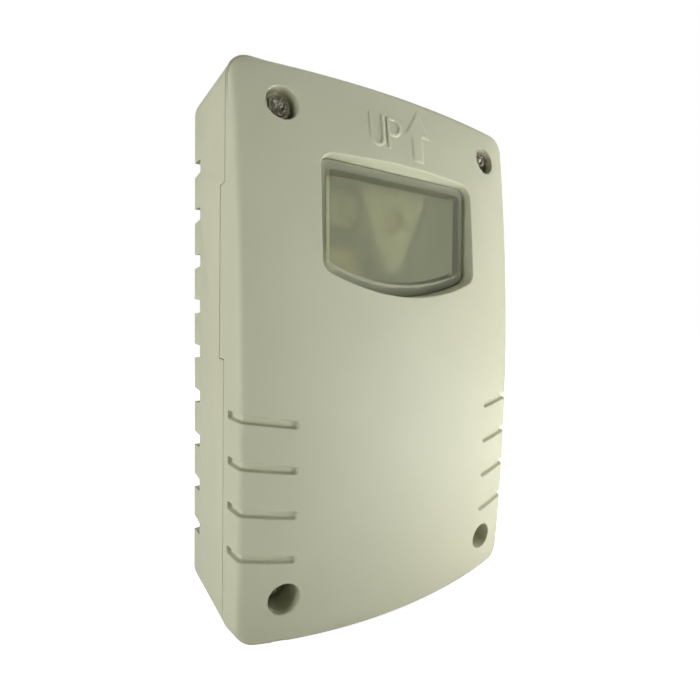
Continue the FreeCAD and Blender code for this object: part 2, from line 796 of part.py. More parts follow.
def make_seals():
    """The cover's seal lies in the base's rebate under the tongue; the lens has a flat one of its own."""
    edges = ("tongue_inset", "wall")
    keep(ring("cover_seal_solid", *edges, SEAL_START, f"{SEAL_START} + seal_thickness"), "cover_seal")
    span = ("-window_seat - lens_seal_thickness", "-window_seat")
    outer = window_block("lens_seal_out", "lens_flange", *span, "window_corner + lens_flange")
    inner = window_block("lens_seal_in", "lens_seal_land", *span, "window_corner + lens_seal_land")
    keep(cut("lens_seal_solid", outer, [inner]), "lens_seal")


def make_lens():
    """The window: a flange behind the cover, a body that fills the opening and a raised panel."""
    seat = "-window_seat - lens_seal_thickness"
    back = f"{seat} - lens_flange_thickness"
    flange = window_block("lens_flange_plate", "lens_flange", back, seat, "window_corner + lens_flange")
    plug = window_block("lens_plug", "-lens_gap", seat, "-lens_step", "window_corner - lens_gap")
    panel = window_block("lens_panel", "-lens_ring", "-lens_step", "0", "lens_corner", "-lens_bevel")
    span = (f"{back} - overrun", "-lens_wall")
    hollow = window_block("lens_hollow", "-lens_pocket", *span, "lens_corner")
    keep(cut("window_lens_solid", fuse("lens_built", [flange, plug, panel]), [hollow]), "window_lens")


def make_cover_screws():
    """Four cross-recess screws whose heads lie on one plane at the bottom of the wells."""
    screws = []
    front = f"{SCREW_SEAT} + screw_head_height"
    for index, (x, level) in enumerate(CORNERS):
        head = rod(f"cover_head_{index}", "screw_head_radius", x, level, SCREW_SEAT, front)
        low = f"{SCREW_SEAT} - screw_length"
        shank = peg(f"cover_shank_{index}", "screw_radius", x, level, low, SCREW_SEAT)
        cross = []
        for way, (span, width) in enumerate((("cross_span", "cross_width"), ("cross_width", "cross_span"))):
            sides = (f"{x} - {span} / 2", f"{x} + {span} / 2")
            levels = (f"{level} - {width} / 2", f"{level} + {width} / 2")
            depths = (f"{front} - cross_depth", f"{front} + overrun")
            cross.append(block(f"cross_{index}_{way}", *sides, *levels, *depths))
        screws.append(cut(f"cover_screw_{index}", fuse(f"cover_screw_blank_{index}", [head, shank]), cross))
    keep(group("cover_screws_set", screws), "cover_screws")


def make_grommets():
    """Rubber grommets with closed nipples, held by their lips in the bottom wall."""
    rings = []
    for index, x in enumerate(GROMMETS):
        owner = body(f"grommet_{index}")
        sk = sketch(owner, f"grommet_half_{index}", "XZ_Plane")
        polygon(
            sk,
            [
                ("0", "-nipple_length"),
                ("nipple_radius", "-nipple_length"),
                ("nipple_radius", "-grommet_flange"),
                (LIP_RADIUS, "-grommet_flange"),
                (LIP_RADIUS, "0"),
                (NECK_RADIUS, "0"),
                (NECK_RADIUS, "pad_thickness"),
                (LIP_RADIUS, "pad_thickness"),
                (LIP_RADIUS, "pad_thickness + grommet_flange"),
                ("nipple_radius - membrane", "pad_thickness + grommet_flange"),
                ("nipple_radius - membrane", "membrane - nipple_length"),
                ("0", "membrane - nipple_length"),
            ],
        )
        revolve(owner, f"grommet_turned_{index}", sk)
        place(owner, x, GROMMET_DEPTH, "bottom_level", UPRIGHT)
        rings.append(owner)
    keep(group("cable_grommets_set", rings), "cable_grommets")


SEAT = f"{BOARD_FRONT} + stand_off"
FUSE_X = f"{BOARD_HALF} - fuse_inset"
VARISTOR_RADIUS = f"({WINDOW_DEPTH} - varistor_room - ({SEAT})) / 2"
SENSOR_FRONT = f"({WINDOW_DEPTH} - sensor_room)"
DIAL_FRONT = f"({WINDOW_DEPTH} - dial_room)"
LEADS = {
    "light_sensor": [("sensor_x", f"sensor_level {sign} sensor_radius / 2") for sign in "-+"],
    "trimmer": [("trimmer_x", f"trimmer_level {sign} trimmer_radius / 2") for sign in "-+"],
    "film": [(f"film_x {sign} film_pitch / 2", "film_level") for sign in "-+"],
    "can": [("can_x", f"can_level {sign} can_radius / 2") for sign in "-+"],
    "varistor": [(f"varistor_x {sign} {VARISTOR_RADIUS} / 2", "varistor_level") for sign in "-+"],
    "fuse": [(FUSE_X, f"fuse_level {sign} fuse_radius / 2") for sign in "-+"],
}


AXIALS = {}
for kind in ("resistor", "diode"):
    reach = f"({kind}_length / 2 + lead_bend)"
    AXIALS[kind] = []
    for place_in_row in range(SIZES[f"{kind}_count"]):
        row_level = f"{kind}_level - {kind}_pitch * {place_in_row}"
        AXIALS[kind].append([(f"{kind}_x - {reach}", row_level), (f"{kind}_x + {reach}", row_level)])


def leads(name, start):
    """The wires of a component, from start down through the board."""
    wires = []
    for index, (x, level) in enumerate(LEADS[name]):
        wires.append(peg(f"{name}_lead_{index}", "lead_radius", x, level, "board_depth - lead_end", start))
    return wires


def make_board():
    owner = body("board")
    sk = sketch(owner, "board_outline", "XZ_Plane", "board_depth")
    rectangle(sk, f"-{BOARD_HALF}", BOARD_HALF, "board_low", "board_high")
    plate = pad(owner, "board_plate", sk, "board_thickness")
    round_corners(owner, "board_corners", plate, DEPTHWISE, "board_corner")
    span = ("board_depth - overrun", f"{BOARD_FRONT} + overrun")
    drilled = []
    for index, (x, level) in enumerate(POSTS):
        drilled.append(rod(f"board_hole_{index}", "board_screw_radius + board_slack", x, level, *span))
    pairs = list(LEADS.values()) + AXIALS["resistor"] + AXIALS["diode"]
    for index, (x, level) in enumerate(place for pair in pairs for place in pair):
        drilled.append(peg(f"lead_hole_{index}", "lead_radius + lead_gap", x, level, *span))
    keep(cut("circuit_board_solid", owner, drilled), "circuit_board")


def make_board_screws():
    screws = []
    for index, (x, level) in enumerate(POSTS):
        top = f"{BOARD_FRONT} + board_head_height"
        head = rod(f"board_head_{index}", "board_head_radius", x, level, BOARD_FRONT, top)
        low = f"{BOARD_FRONT} - board_screw_length"
        shank = peg(f"board_shank_{index}", "board_screw_radius", x, level, low, BOARD_FRONT)
        screws.append(fuse(f"board_screw_{index}", [head, shank]))
    keep(group("board_screws_set", screws), "board_screws")


def pole_x(index):
    return f"pole_pitch * ({index} - (pole_count - 1) / 2)"


def make_terminals():
    """A rising-clamp terminal block: wires enter from below and screws are turned from the front."""
    half = "(pole_count * pole_pitch / 2 + terminal_margin)"
    front = f"{BOARD_FRONT} + terminal_height"
    levels = ("terminal_low", "terminal_low + terminal_size")
    shell = block("terminal_shell", f"-{half}", half, *levels, BOARD_FRONT, front)
    bores = []
    clamps = []
    screws = []
    bore_back = f"{BOARD_FRONT} + wire_bore_start"
    bore_front = f"{bore_back} + wire_bore_height"
    bore_top = "terminal_low + wire_bore_depth"
    clamp_low = f"{bore_top} - clamp_length"
    middle = f"{bore_top} - clamp_length / 2"
    for index in range(SIZES["pole_count"]):
        x = pole_x(index)
        depths = (bore_back, bore_front)
        sides = (f"{x} - wire_bore / 2", f"{x} + wire_bore / 2")
        bores.append(block(f"wire_bore_{index}", *sides, "terminal_low - overrun", bore_top, *depths))
        well = "clamp_head_radius + clamp_gap"
        bores.append(rod(f"clamp_well_{index}", well, x, middle, bore_back, f"{front} + overrun"))
        side = "(wire_bore / 2 - clamp_gap)"
        cage = block(f"cage_{index}", f"{x} - {side}", f"{x} + {side}", clamp_low, bore_top, *depths)
        thin = f"({side} - clamp_wall)"
        inside = block(
            f"cage_inside_{index}",
            f"{x} - {thin}",
            f"{x} + {thin}",
            f"{clamp_low} - overrun",
            f"{bore_top} + overrun",
            f"{bore_back} + clamp_wall",
            f"{bore_front} - clamp_wall",
        )
        thread = "clamp_screw_radius + bore_gap"
        span = (f"{bore_back} + clamp_wall", f"{bore_front} + overrun")
        tapped = peg(f"cage_thread_{index}", thread, x, middle, *span)
        clamps.append(cut(f"clamp_{index}", cage, [inside, tapped]))
        head_back = f"{bore_front} + clamp_head_gap"
        head_front = f"{head_back} + clamp_head_height"
        head = rod(f"clamp_head_{index}", "clamp_head_radius", x, middle, head_back, head_front)
        span = (f"{bore_back} + clamp_screw_end", head_back)
        shank = peg(f"clamp_shank_{index}", "clamp_screw_radius", x, middle, *span)
        slot = block(
            f"clamp_slot_{index}",
            f"{x} - slot_width / 2",
            f"{x} + slot_width / 2",
            f"{middle} - clamp_head_radius - overrun",
            f"{middle} + clamp_head_radius + overrun",
            f"{head_front} - slot_depth",
            f"{head_front} + overrun",
        )
        screws.append(cut(f"clamp_screw_{index}", fuse(f"clamp_blank_{index}", [head, shank]), [slot]))
    keep(cut("terminal_block_solid", shell, bores), "terminal_block")
    keep(group("terminal_clamps_set", clamps), "terminal_clamps")
    keep(group("terminal_screws_set", screws), "terminal_screws")


# Relay: positions inside it are measured from its own middle


def at_x(text):
    return f"relay_x + ({text})"


def at_level(text):
    return f"relay_level + ({text})"


RELAY_FLOOR = f"{BOARD_FRONT} + relay_base_thickness"
RELAY_TOP = f"{DOME_DEPTH} - relay_drop"
CORE_FOOT = f"{RELAY_FLOOR} + yoke_thickness"
POLE_FACE = f"{RELAY_TOP} - armature_room"
HINGE_X = at_x("yoke_side - yoke_thickness / 2")
HINGE_DEPTH = f"{POLE_FACE} + armature_gap"


def make_relay():
    """An open-frame relay in a dust case. The armature tips on the front end of the yoke's leg."""
    half_w, half_h = "relay_width / 2", "relay_height / 2"
    sides = (at_x(f"-{half_w}"), at_x(half_w), at_level(f"-{half_h}"), at_level(half_h))
    outside = block("case_outside", *sides, BOARD_FRONT, RELAY_TOP)
    inner_w, inner_h = f"({half_w} - relay_wall)", f"({half_h} - relay_wall)"
    sides = (at_x(f"-{inner_w}"), at_x(inner_w), at_level(f"-{inner_h}"), at_level(inner_h))
    inside = block("case_inside", *sides, f"{BOARD_FRONT} - overrun", f"{RELAY_TOP} - relay_wall")
    keep(cut("relay_case_solid", outside, [inside]), "relay_case")
    plug_w, plug_h = f"({inner_w} - slide_gap)", f"({inner_h} - slide_gap)"
    sides = (at_x(f"-{plug_w}"), at_x(plug_w), at_level(f"-{plug_h}"), at_level(plug_h))
    keep(block("relay_base_solid", *sides, BOARD_FRONT, RELAY_FLOOR), "relay_base")
    band = (at_level("-yoke_width / 2"), at_level("yoke_width / 2"))
    right = at_x("yoke_side")
    foot_left = at_x("core_side - core_radius - yoke_margin")
    foot = block("yoke_foot", foot_left, right, *band, RELAY_FLOOR, CORE_FOOT)
    leg = block("yoke_leg", at_x("yoke_side - yoke_thickness"), right, *band, RELAY_FLOOR, POLE_FACE)
    ridge = post("yoke_ridge", "hinge_radius", HINGE_X, HINGE_DEPTH, *band)
    keep(fuse("relay_yoke_solid", [foot, leg, ridge]), "relay_yoke")
    axis = (at_x("core_side"), at_level("0"))
    keep(rod("relay_core_solid", "core_radius", *axis, CORE_FOOT, POLE_FACE), "relay_core")
    bobbin_end = f"{POLE_FACE} - bobbin_step"
    wound = (f"{CORE_FOOT} + bobbin_flange", f"{bobbin_end} - bobbin_flange")
    flanges = [
        rod("bobbin_foot", "bobbin_radius", *axis, CORE_FOOT, wound[0]),
        rod("bobbin_head", "bobbin_radius", *axis, wound[1], bobbin_end),
        rod("bobbin_barrel", "core_radius + bobbin_wall", *axis, CORE_FOOT, bobbin_end),
    ]
    hole = rod("bobbin_hole", "core_radius + bore_gap", *axis, RELAY_FLOOR, RELAY_TOP)
    keep(cut("relay_bobbin_solid", fuse("bobbin_blank", flanges), [hole]), "relay_bobbin")
    copper = rod("winding_outside", "winding_radius", *axis, *wound)
    centre = rod("winding_inside", "core_radius + bobbin_wall", *axis, *wound)
    keep(cut("relay_winding_solid", copper, [centre]), "relay_winding")


def make_armature():
    """The armature stands open in its rest pose, turned on the hinge line by its whole travel."""
    half = "yoke_width / 2"
    back = "armature_thickness"
    front = "armature_thickness + spring_thickness"
    blank = block("armature_blank", "-armature_reach", "yoke_thickness / 2", f"-{half}", half, "0", back)
    ends = (f"-{half} - overrun", f"{half} + overrun")
    groove = post("hinge_groove", "hinge_radius + hinge_slack", "0", "0", *ends)
    plate = cut("armature_plate", blank, [groove])
    end = "-contact_arm - contact_radius - spring_margin"
    edges = ("-spring_width / 2", "spring_width / 2")
    leaf = block("spring_leaf", end, "spring_hold - armature_reach", *edges, back, front)
    tip = rod("moving_contact", "contact_radius", "-contact_arm", "0", f"{back} - contact_height", back)
    opened = Rotation(Vector(0, 0, 1), SIZES["armature_travel"])
    carried = {"relay_armature": plate, "relay_contact_spring": fuse("leaf_with_contact", [leaf, tip])}
    for name, solid in carried.items():
        turned = group(name + "_set", [solid])
        place(turned, HINGE_X, HINGE_DEPTH, "relay_level", opened)
        turned.setExpression("Placement.Rotation.Angle", formula("armature_travel"))
        keep(turned, name)
    contact_x = f"{HINGE_X} - contact_arm"
    face = f"{HINGE_DEPTH} + armature_thickness - contact_height - contact_gap"
    shelf = f"{face} - contact_height"
    left = f"{contact_x} - contact_radius - strip_thickness"
    right = f"{contact_x} + contact_radius"
    edges = (at_level("-spring_width / 2"), at_level("spring_width / 2"))
    upright = block("strip_upright", left, f"{left} + strip_thickness", *edges, RELAY_FLOOR, shelf)
    ledge = block("strip_ledge", left, right, *edges, f"{shelf} - strip_thickness", shelf)
    button = rod("fixed_contact", "contact_radius", contact_x, "relay_level", shelf, face)
    keep(fuse("relay_fixed_contact_solid", [upright, ledge, button]), "relay_fixed_contact")


def make_sensor():
    """A light-dependent resistor with two flat sides, held in a wedge-shaped moulding."""
    back = f"{SENSOR_FRONT} - sensor_thickness"
    disc = rod("sensor_disc", "sensor_radius", "sensor_x", "sensor_level", back, SENSOR_FRONT)
    sides = ("sensor_x - sensor_flat", "sensor_x + sensor_flat")
    levels = ("sensor_level - sensor_radius - overrun", "sensor_level + sensor_radius + overrun")
    flats = block("sensor_flats", *sides, *levels, back, SENSOR_FRONT)
    wires = leads("light_sensor", f"{back} + lead_root")
    keep(fuse("light_sensor_solid", [common("sensor_trimmed", disc, flats)] + wires), "light_sensor")
    owner = body("holder")
    sk = sketch(owner, "holder_outline", "XZ_Plane", BOARD_FRONT)
    polygon(
        sk,
        [
            ("sensor_x + holder_half_top", "holder_top"),
            ("sensor_x - holder_half_top", "holder_top"),
            ("sensor_x - holder_half_tip", "holder_tip"),
            ("sensor_x + holder_half_tip", "holder_tip"),
        ],
    )
    wedge = pad(owner, "holder_wedge", sk, f"{SENSOR_FRONT} + sensor_rim - ({BOARD_FRONT})")
    round_corners(owner, "holder_corners", wedge, DEPTHWISE, "holder_corner")
    well = sketch(owner, "holder_well", "XZ_Plane", f"{back} - bore_gap")
    circle(well, "sensor_radius + sensor_gap", "sensor_x", "sensor_level")
    pocket(owner, "holder_seat", well, "sensor_thickness + sensor_rim + overrun", True)
    passage = sketch(owner, "holder_passage", "XZ_Plane", BOARD_FRONT)
    circle(passage, "sensor_radius - sensor_ledge", "sensor_x", "sensor_level")
    pocket(owner, "holder_through", passage, SENSOR_FRONT, True)
    keep(owner, "sensor_holder")


def make_trimmer():
    """The threshold trimmer: a round case and a dial that turns in it."""
    top = f"{DIAL_FRONT} - dial_thickness - dial_gap"
    shaft = ("trimmer_x", "trimmer_level")
    case = rod("trimmer_case", "trimmer_radius", *shaft, BOARD_FRONT, top)
    low = f"{top} - dial_shaft_length - dial_gap"
    hole = rod("trimmer_hole", "dial_shaft_radius + shaft_gap", *shaft, low, f"{top} + overrun")
    keep(cut("trimmer_body_solid", case, [hole]), "trimmer_body")
    back = f"{top} + dial_gap"
    disc = rod("dial_disc", "dial_radius", *shaft, back, DIAL_FRONT)
    stem = rod("dial_stem", "dial_shaft_radius", *shaft, f"{top} - dial_shaft_length", DIAL_FRONT)
    cuts = []
    spans = ("dial_slot", "dial_slot_width")
    for index, (span, width) in enumerate((spans, spans[::-1])):
        edges = (f"trimmer_x - {span} / 2", f"trimmer_x + {span} / 2")
        levels = (f"trimmer_level - {width} / 2", f"trimmer_level + {width} / 2")
        depths = (f"{DIAL_FRONT} - dial_slot_depth", f"{DIAL_FRONT} + overrun")
        cuts.append(block(f"dial_slot_{index}", *edges, *levels, *depths))
    edges = ("trimmer_x - dial_mark_width / 2", "trimmer_x + dial_mark_width / 2")
    rim = "trimmer_level + dial_radius"
    levels = (f"{rim} - dial_mark_depth", f"{rim} + overrun")
    cuts.append(block("dial_mark", *edges, *levels, top, f"{DIAL_FRONT} + overrun"))
    keep(cut("trimmer_dial_solid", fuse("dial_blank", [disc, stem]), cuts), "trimmer_dial")


def make_components():
    """The other parts of the circuit, each on wires that pass through the board."""
    inside = f"{SEAT} + lead_root"
    film = block(
        "film_box",
        "film_x - film_width / 2",
        "film_x + film_width / 2",
        "film_level - film_size / 2",
        "film_level + film_size / 2",
        SEAT,
        f"{WINDOW_DEPTH} - film_room",
    )
    keep(fuse("film_capacitor_solid", [film] + leads("film", inside)), "film_capacitor")
    can = rod("can", "can_radius", "can_x", "can_level", SEAT, f"{WINDOW_DEPTH} - can_room")
    keep(fuse("smoothing_capacitor_solid", [can] + leads("can", inside)), "smoothing_capacitor")
    low, high = "varistor_level - varistor_thickness / 2", "varistor_level + varistor_thickness / 2"
    centre = f"{SEAT} + {VARISTOR_RADIUS}"
    disc = post("varistor_disc", VARISTOR_RADIUS, "varistor_x", centre, low, high)
    keep(fuse("varistor_solid", [disc] + leads("varistor", centre)), "varistor")
    drum = rod("fuse_drum", "fuse_radius", FUSE_X, "fuse_level", SEAT, f"{SEAT} + fuse_height")
    keep(fuse("fuse_solid", [drum] + leads("fuse", inside)), "fuse")
    for kind in ("resistor", "diode"):
        pieces = []
        for index, ((left, level), (right, level)) in enumerate(AXIALS[kind]):
            depth = f"{SEAT} + {kind}_radius"
            ends = (f"{kind}_x - {kind}_length / 2", f"{kind}_x + {kind}_length / 2")
            barrel = bar(f"{kind}_{index}", f"{kind}_radius", *ends, level, depth)
            ends = (f"{left} - wire_radius", f"{right} + wire_radius")
            line = wire(f"{kind}_wire_{index}", "wire_radius", *ends, level, depth)
            span = ("board_depth - lead_end", depth)
            legs = []
            for side, x in enumerate((left, right)):
                legs.append(peg(f"{kind}_leg_{index}_{side}", "lead_radius", x, level, *span))
            pieces.append(fuse(f"{kind}_solid_{index}", [barrel, line] + legs))
        keep(group(f"{kind}s_set", pieces), f"{kind}s")


make_base()
make_cover()
make_seals()
make_lens()
make_cover_screws()
make_grommets()
make_board()
make_board_screws()
make_terminals()
make_relay()
make_armature()
make_sensor()
make_trimmer()
make_components()

doc.recompute()
faults = [obj.Name for obj in doc.Objects if "Invalid" in obj.State or "Error" in obj.State]
faults += [obj.Label for obj in subparts if obj.Shape.isNull() or not obj.Shape.isValid()]
if faults:
    raise SystemExit(f"these objects failed: {faults}")

os.makedirs("parts", exist_ok=True)
for obj in subparts:
    obj.Shape.exportStep(f"parts/{obj.Label}.step")
    print(f"{obj.Label}: {len(obj.Shape.Solids)} solids, {obj.Shape.Volume:.1f} mm3")
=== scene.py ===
import json
import math

import bmesh
import bpy
import numpy as np
from mathutils import Matrix, Vector
from mathutils.geometry import delaunay_2d_cdt


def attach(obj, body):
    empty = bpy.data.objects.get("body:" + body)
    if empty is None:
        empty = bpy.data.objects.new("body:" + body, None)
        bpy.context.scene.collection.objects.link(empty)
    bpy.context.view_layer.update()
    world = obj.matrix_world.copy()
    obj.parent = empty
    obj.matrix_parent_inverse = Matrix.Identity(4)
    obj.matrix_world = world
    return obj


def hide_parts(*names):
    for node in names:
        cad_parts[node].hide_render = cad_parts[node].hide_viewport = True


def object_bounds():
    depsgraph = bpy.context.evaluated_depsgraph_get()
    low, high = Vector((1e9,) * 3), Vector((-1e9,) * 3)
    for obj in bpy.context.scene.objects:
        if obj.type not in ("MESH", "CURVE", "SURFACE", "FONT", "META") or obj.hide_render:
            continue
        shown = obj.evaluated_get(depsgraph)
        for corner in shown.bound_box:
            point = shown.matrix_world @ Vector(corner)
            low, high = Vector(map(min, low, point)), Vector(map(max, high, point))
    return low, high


MM = 0.001

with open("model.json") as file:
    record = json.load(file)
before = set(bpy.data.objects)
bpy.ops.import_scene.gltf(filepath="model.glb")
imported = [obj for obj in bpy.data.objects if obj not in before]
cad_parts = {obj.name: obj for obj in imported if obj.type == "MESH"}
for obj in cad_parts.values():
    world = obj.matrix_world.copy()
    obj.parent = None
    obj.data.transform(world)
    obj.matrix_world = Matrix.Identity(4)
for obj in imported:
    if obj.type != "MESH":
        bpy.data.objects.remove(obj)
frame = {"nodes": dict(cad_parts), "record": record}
start_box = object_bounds()

# Camera: where the photograph was taken from

EYE = Vector((-61.22, -106.08, 6.79)) * MM
YAW, PITCH, ROLL = math.radians(32.021), math.radians(3.745), math.radians(1.363)
LENS, SENSOR = 23.773, 36


def add_camera():
    forward = Vector((math.sin(YAW) * math.cos(PITCH), math.cos(YAW) * math.cos(PITCH), -math.sin(PITCH)))
    right = Vector((math.cos(YAW), -math.sin(YAW), 0))
    up = right.cross(forward)
    across = math.cos(ROLL) * right + math.sin(ROLL) * up
    above = math.cos(ROLL) * up - math.sin(ROLL) * right
    data = bpy.data.cameras.new("photo_camera")
    data.lens = LENS
    data.sensor_width = SENSOR
    data.clip_start = 0.005
    obj = bpy.data.objects.new("photo_camera", data)
    obj.matrix_world = Matrix.Translation(EYE) @ Matrix((across, above, -forward)).transposed().to_4x4()
    bpy.context.scene.collection.objects.link(obj)
    bpy.context.scene.camera = obj


# Shader nodes


def add_node(tree, kind, **values):
    """A node with some of its inputs set by name."""
    node = tree.nodes.new(kind)
    for name, value in values.items():
        node.inputs[name.replace("_", " ")].default_value = value
    return node


# Light: soft boxes, most of them facing the middle of the housing, in a plain room

WHITE = (1, 1, 1, 1)
AIM = Vector((0, -15, 0)) * MM


def soft_box(name, place, width, height, power, aim=AIM, spread=180):
    data = bpy.data.lights.new(name, "AREA")
    data.shape = "RECTANGLE"
    data.size, data.size_y = width, height
    data.energy = power
    data.spread = math.radians(spread)
    obj = bpy.data.objects.new(name, data)
    obj.location = place
    obj.rotation_euler = (aim - Vector(place)).to_track_quat("-Z", "Y").to_euler()
    bpy.context.scene.collection.objects.link(obj)


def add_world(strength):
    """A plain grey room for the object, seen as plain white by the camera and through the lens."""
    world = bpy.data.worlds.new("room")
    world.use_nodes = True
    bpy.context.scene.world = world
    tree = world.node_tree
    tree.nodes.clear()
    path = tree.nodes.new("ShaderNodeLightPath")
    seen = tree.nodes.new("ShaderNodeMath")
    seen.operation = "MAXIMUM"
    tree.links.new(path.outputs["Is Camera Ray"], seen.inputs[0])
    tree.links.new(path.outputs["Is Transmission Ray"], seen.inputs[1])
    room = add_node(tree, "ShaderNodeBackground", Color=WHITE, Strength=strength)
    white = add_node(tree, "ShaderNodeBackground", Color=WHITE, Strength=1)
    mix = tree.nodes.new("ShaderNodeMixShader")
    tree.links.new(seen.outputs[0], mix.inputs[0])
    tree.links.new(room.outputs[0], mix.inputs[1])
    tree.links.new(white.outputs[0], mix.inputs[2])
    out = tree.nodes.new("ShaderNodeOutputWorld")
    tree.links.new(mix.outputs[0], out.inputs["Surface"])


# Materials

MIX_SHARE, MIX_FIRST, MIX_SECOND, MIX_RESULT = 0, 6, 7, 2
# How much paler the painted highlight on sharp outward edges is
EDGE_HIGHLIGHT_PALER = 1.3


def srgb(red, green, blue):
    """A colour given as 8 bit values, as a shader takes it."""
    parts = []
    for value in (red, green, blue):
        value /= 255
        parts.append(value / 12.92 if value <= 0.04045 else ((value + 0.055) / 1.055) ** 2.4)
    return (*parts, 1)


def shaded(colour, factor):
    """A colour made lighter or darker."""
    return (*[min(1, c * factor) for c in colour[:3]], 1)


def mix_colours(tree, share, first, second):
    """A mix of two colours, each of them plain or taken from another node."""
    node = tree.nodes.new("ShaderNodeMix")
    node.data_type = "RGBA"
    tree.links.new(share, node.inputs[MIX_SHARE])
    for index, colour in ((MIX_FIRST, first), (MIX_SECOND, second)):
        if isinstance(colour, tuple):
            node.inputs[index].default_value = colour
        else:
            tree.links.new(colour, node.inputs[index])
    return node.outputs[MIX_RESULT]


def cloudy(tree, place, colour, variation):
    """A cloudy colour with a painted highlight: paler on sharp outward edges."""
    clouds = add_node(tree, "ShaderNodeTexNoise", Scale=60, Detail=4)
    tree.links.new(place, clouds.inputs["Vector"])
    darker, paler = shaded(colour, 1 - variation), shaded(colour, 1 + variation)
    tint = mix_colours(tree, clouds.outputs["Fac"], darker, paler)
    # Painted highlight: sharp outward edges, found by pointiness, take up to 22 % of a paler copy of the
    # colour
    edges = tree.nodes.new("ShaderNodeNewGeometry")
    edge_highlight = add_node(tree, "ShaderNodeMapRange", From_Min=0.52, From_Max=0.64, To_Min=0, To_Max=0.22)
    tree.links.new(edges.outputs["Pointiness"], edge_highlight.inputs["Value"])
    return mix_colours(tree, edge_highlight.outputs[0], tint, shaded(colour, EDGE_HIGHLIGHT_PALER))


def moulded(name, colour, rough, grain=0.12, scale=2600, metallic=0.0, variation=0.05, stretch=(1, 1, 1)):
    """Moulded or cast stock: cloudy colour with a painted highlight on sharp edges, and fine grain in height
    and gloss.

    The grain runs in long streaks where stretch is small along one axis, as on drawn or ground metal.
    """
    mat = bpy.data.materials.new(name)
    mat.use_nodes = True
    tree = mat.node_tree
    shader = tree.nodes["Principled BSDF"]
    shader.inputs["Metallic"].default_value = metallic
    place = tree.nodes.new("ShaderNodeTexCoord")
    tree.links.new(cloudy(tree, place.outputs["Object"], colour, variation), shader.inputs["Base Color"])

    streaks = add_node(tree, "ShaderNodeMapping", Scale=stretch)
    tree.links.new(place.outputs["Object"], streaks.inputs["Vector"])
    fine = add_node(tree, "ShaderNodeTexNoise", Scale=scale, Detail=2)
    tree.links.new(streaks.outputs[0], fine.inputs["Vector"])
    gloss = add_node(
        tree, "ShaderNodeMapRange", From_Min=0.3, From_Max=0.7, To_Min=rough + 0.06, To_Max=rough - 0.06
    )
    tree.links.new(fine.outputs["Fac"], gloss.inputs["Value"])
    tree.links.new(gloss.outputs[0], shader.inputs["Roughness"])
    bump = add_node(tree, "ShaderNodeBump", Strength=grain, Distance=0.00005)
    tree.links.new(fine.outputs["Fac"], bump.inputs["Height"])
    tree.links.new(bump.outputs["Normal"], shader.inputs["Normal"])
    return mat


def frosted(name, colour, rough):
    """Clear plastic with a frosted face, which blurs what lies behind it; its haze follows the mesh."""
    mat = moulded(name, colour, rough, grain=0.06, scale=3800, variation=0.04)
    tree = mat.node_tree
    shader = tree.nodes["Principled BSDF"]
    shader.inputs["IOR"].default_value = 1.49
    haze = tree.nodes.new("ShaderNodeAttribute")
    haze.attribute_name = "haze"
    through = add_node(tree, "ShaderNodeMapRange", To_Min=1, To_Max=0)
    tree.links.new(haze.outputs["Fac"], through.inputs["Value"])
    tree.links.new(through.outputs[0], shader.inputs["Transmission Weight"])
    return mat


def ridged(name, colour, rough, pitch, along, metallic=0.0):
    """Stock with fine even ridges at a pitch in metres along one axis, such as wound wire or woven glass."""
    mat = moulded(name, colour, rough, metallic=metallic)
    tree = mat.node_tree
    place = tree.nodes.new("ShaderNodeTexCoord")
    waves = add_node(tree, "ShaderNodeTexWave", Scale=math.pi / 10 / pitch, Distortion=0.4)
    waves.bands_direction = along
    tree.links.new(place.outputs["Object"], waves.inputs["Vector"])
    ridges = add_node(tree, "ShaderNodeBump", Strength=0.8, Distance=pitch / 3)
    tree.links.new(waves.outputs["Fac"], ridges.inputs["Height"])
    grain = tree.nodes["Bump"]
    tree.links.new(ridges.outputs["Normal"], grain.inputs["Normal"])
    return mat


HOUSING = srgb(188, 189, 163)
DRAWN = (1, 1, 0.06)

FINISHES = {
    "cover_plastic": moulded("cover_plastic", HOUSING, 0.58),
    "base_plastic": moulded("base_plastic", HOUSING, 0.58),
    "frosted_lens": frosted("frosted_lens", srgb(228, 230, 203), 0.2),
    "seal_rubber": moulded("seal_rubber", srgb(60, 60, 58), 0.7, grain=0.3),
    "screw_steel": moulded("screw_steel", srgb(196, 192, 176), 0.3, metallic=1.0, stretch=(1, 1, 0.1)),
    "board_laminate": ridged("board_laminate", srgb(48, 84, 58), 0.4, 0.0005, "X"),
    "terminal_plastic": moulded("terminal_plastic", srgb(58, 104, 72), 0.45),
    "clamp_brass": moulded("clamp_brass", srgb(190, 160, 90), 0.3, metallic=1.0, stretch=DRAWN),
    "relay_plastic": moulded("relay_plastic", srgb(52, 60, 78), 0.35),
    "relay_iron": moulded("relay_iron", srgb(150, 150, 150), 0.35, metallic=1.0, stretch=DRAWN),
    "bobbin_plastic": moulded("bobbin_plastic", srgb(225, 220, 205), 0.5),
    "copper_wire": ridged("copper_wire", srgb(184, 98, 56), 0.3, 0.00025, "Z", metallic=1.0),
    "spring_bronze": moulded("spring_bronze", srgb(200, 150, 80), 0.3, metallic=1.0, stretch=DRAWN),
    "sensor_ceramic": moulded("sensor_ceramic", srgb(158, 140, 112), 0.5),
    "holder_plastic": moulded("holder_plastic", srgb(190, 190, 176), 0.5),
    "trimmer_plastic": moulded("trimmer_plastic", srgb(44, 48, 44), 0.45),
    "dial_plastic": moulded("dial_plastic", srgb(158, 158, 140), 0.45),
    "film_plastic": moulded("film_plastic", srgb(190, 180, 146), 0.4),
    "can_sleeve": moulded("can_sleeve", srgb(45, 48, 60), 0.4),
    "varistor_coat": moulded("varistor_coat", srgb(60, 84, 120), 0.4, grain=0.4, scale=1500),
    "fuse_case": moulded("fuse_case", srgb(60, 45, 40), 0.45),
    "resistor_coat": moulded("resistor_coat", srgb(196, 178, 140), 0.5, grain=0.3, scale=1500),
    "diode_case": moulded("diode_case", srgb(40, 40, 42), 0.4),
}


# Mesh making, in millimetres: x to the right, y away from the room, z up


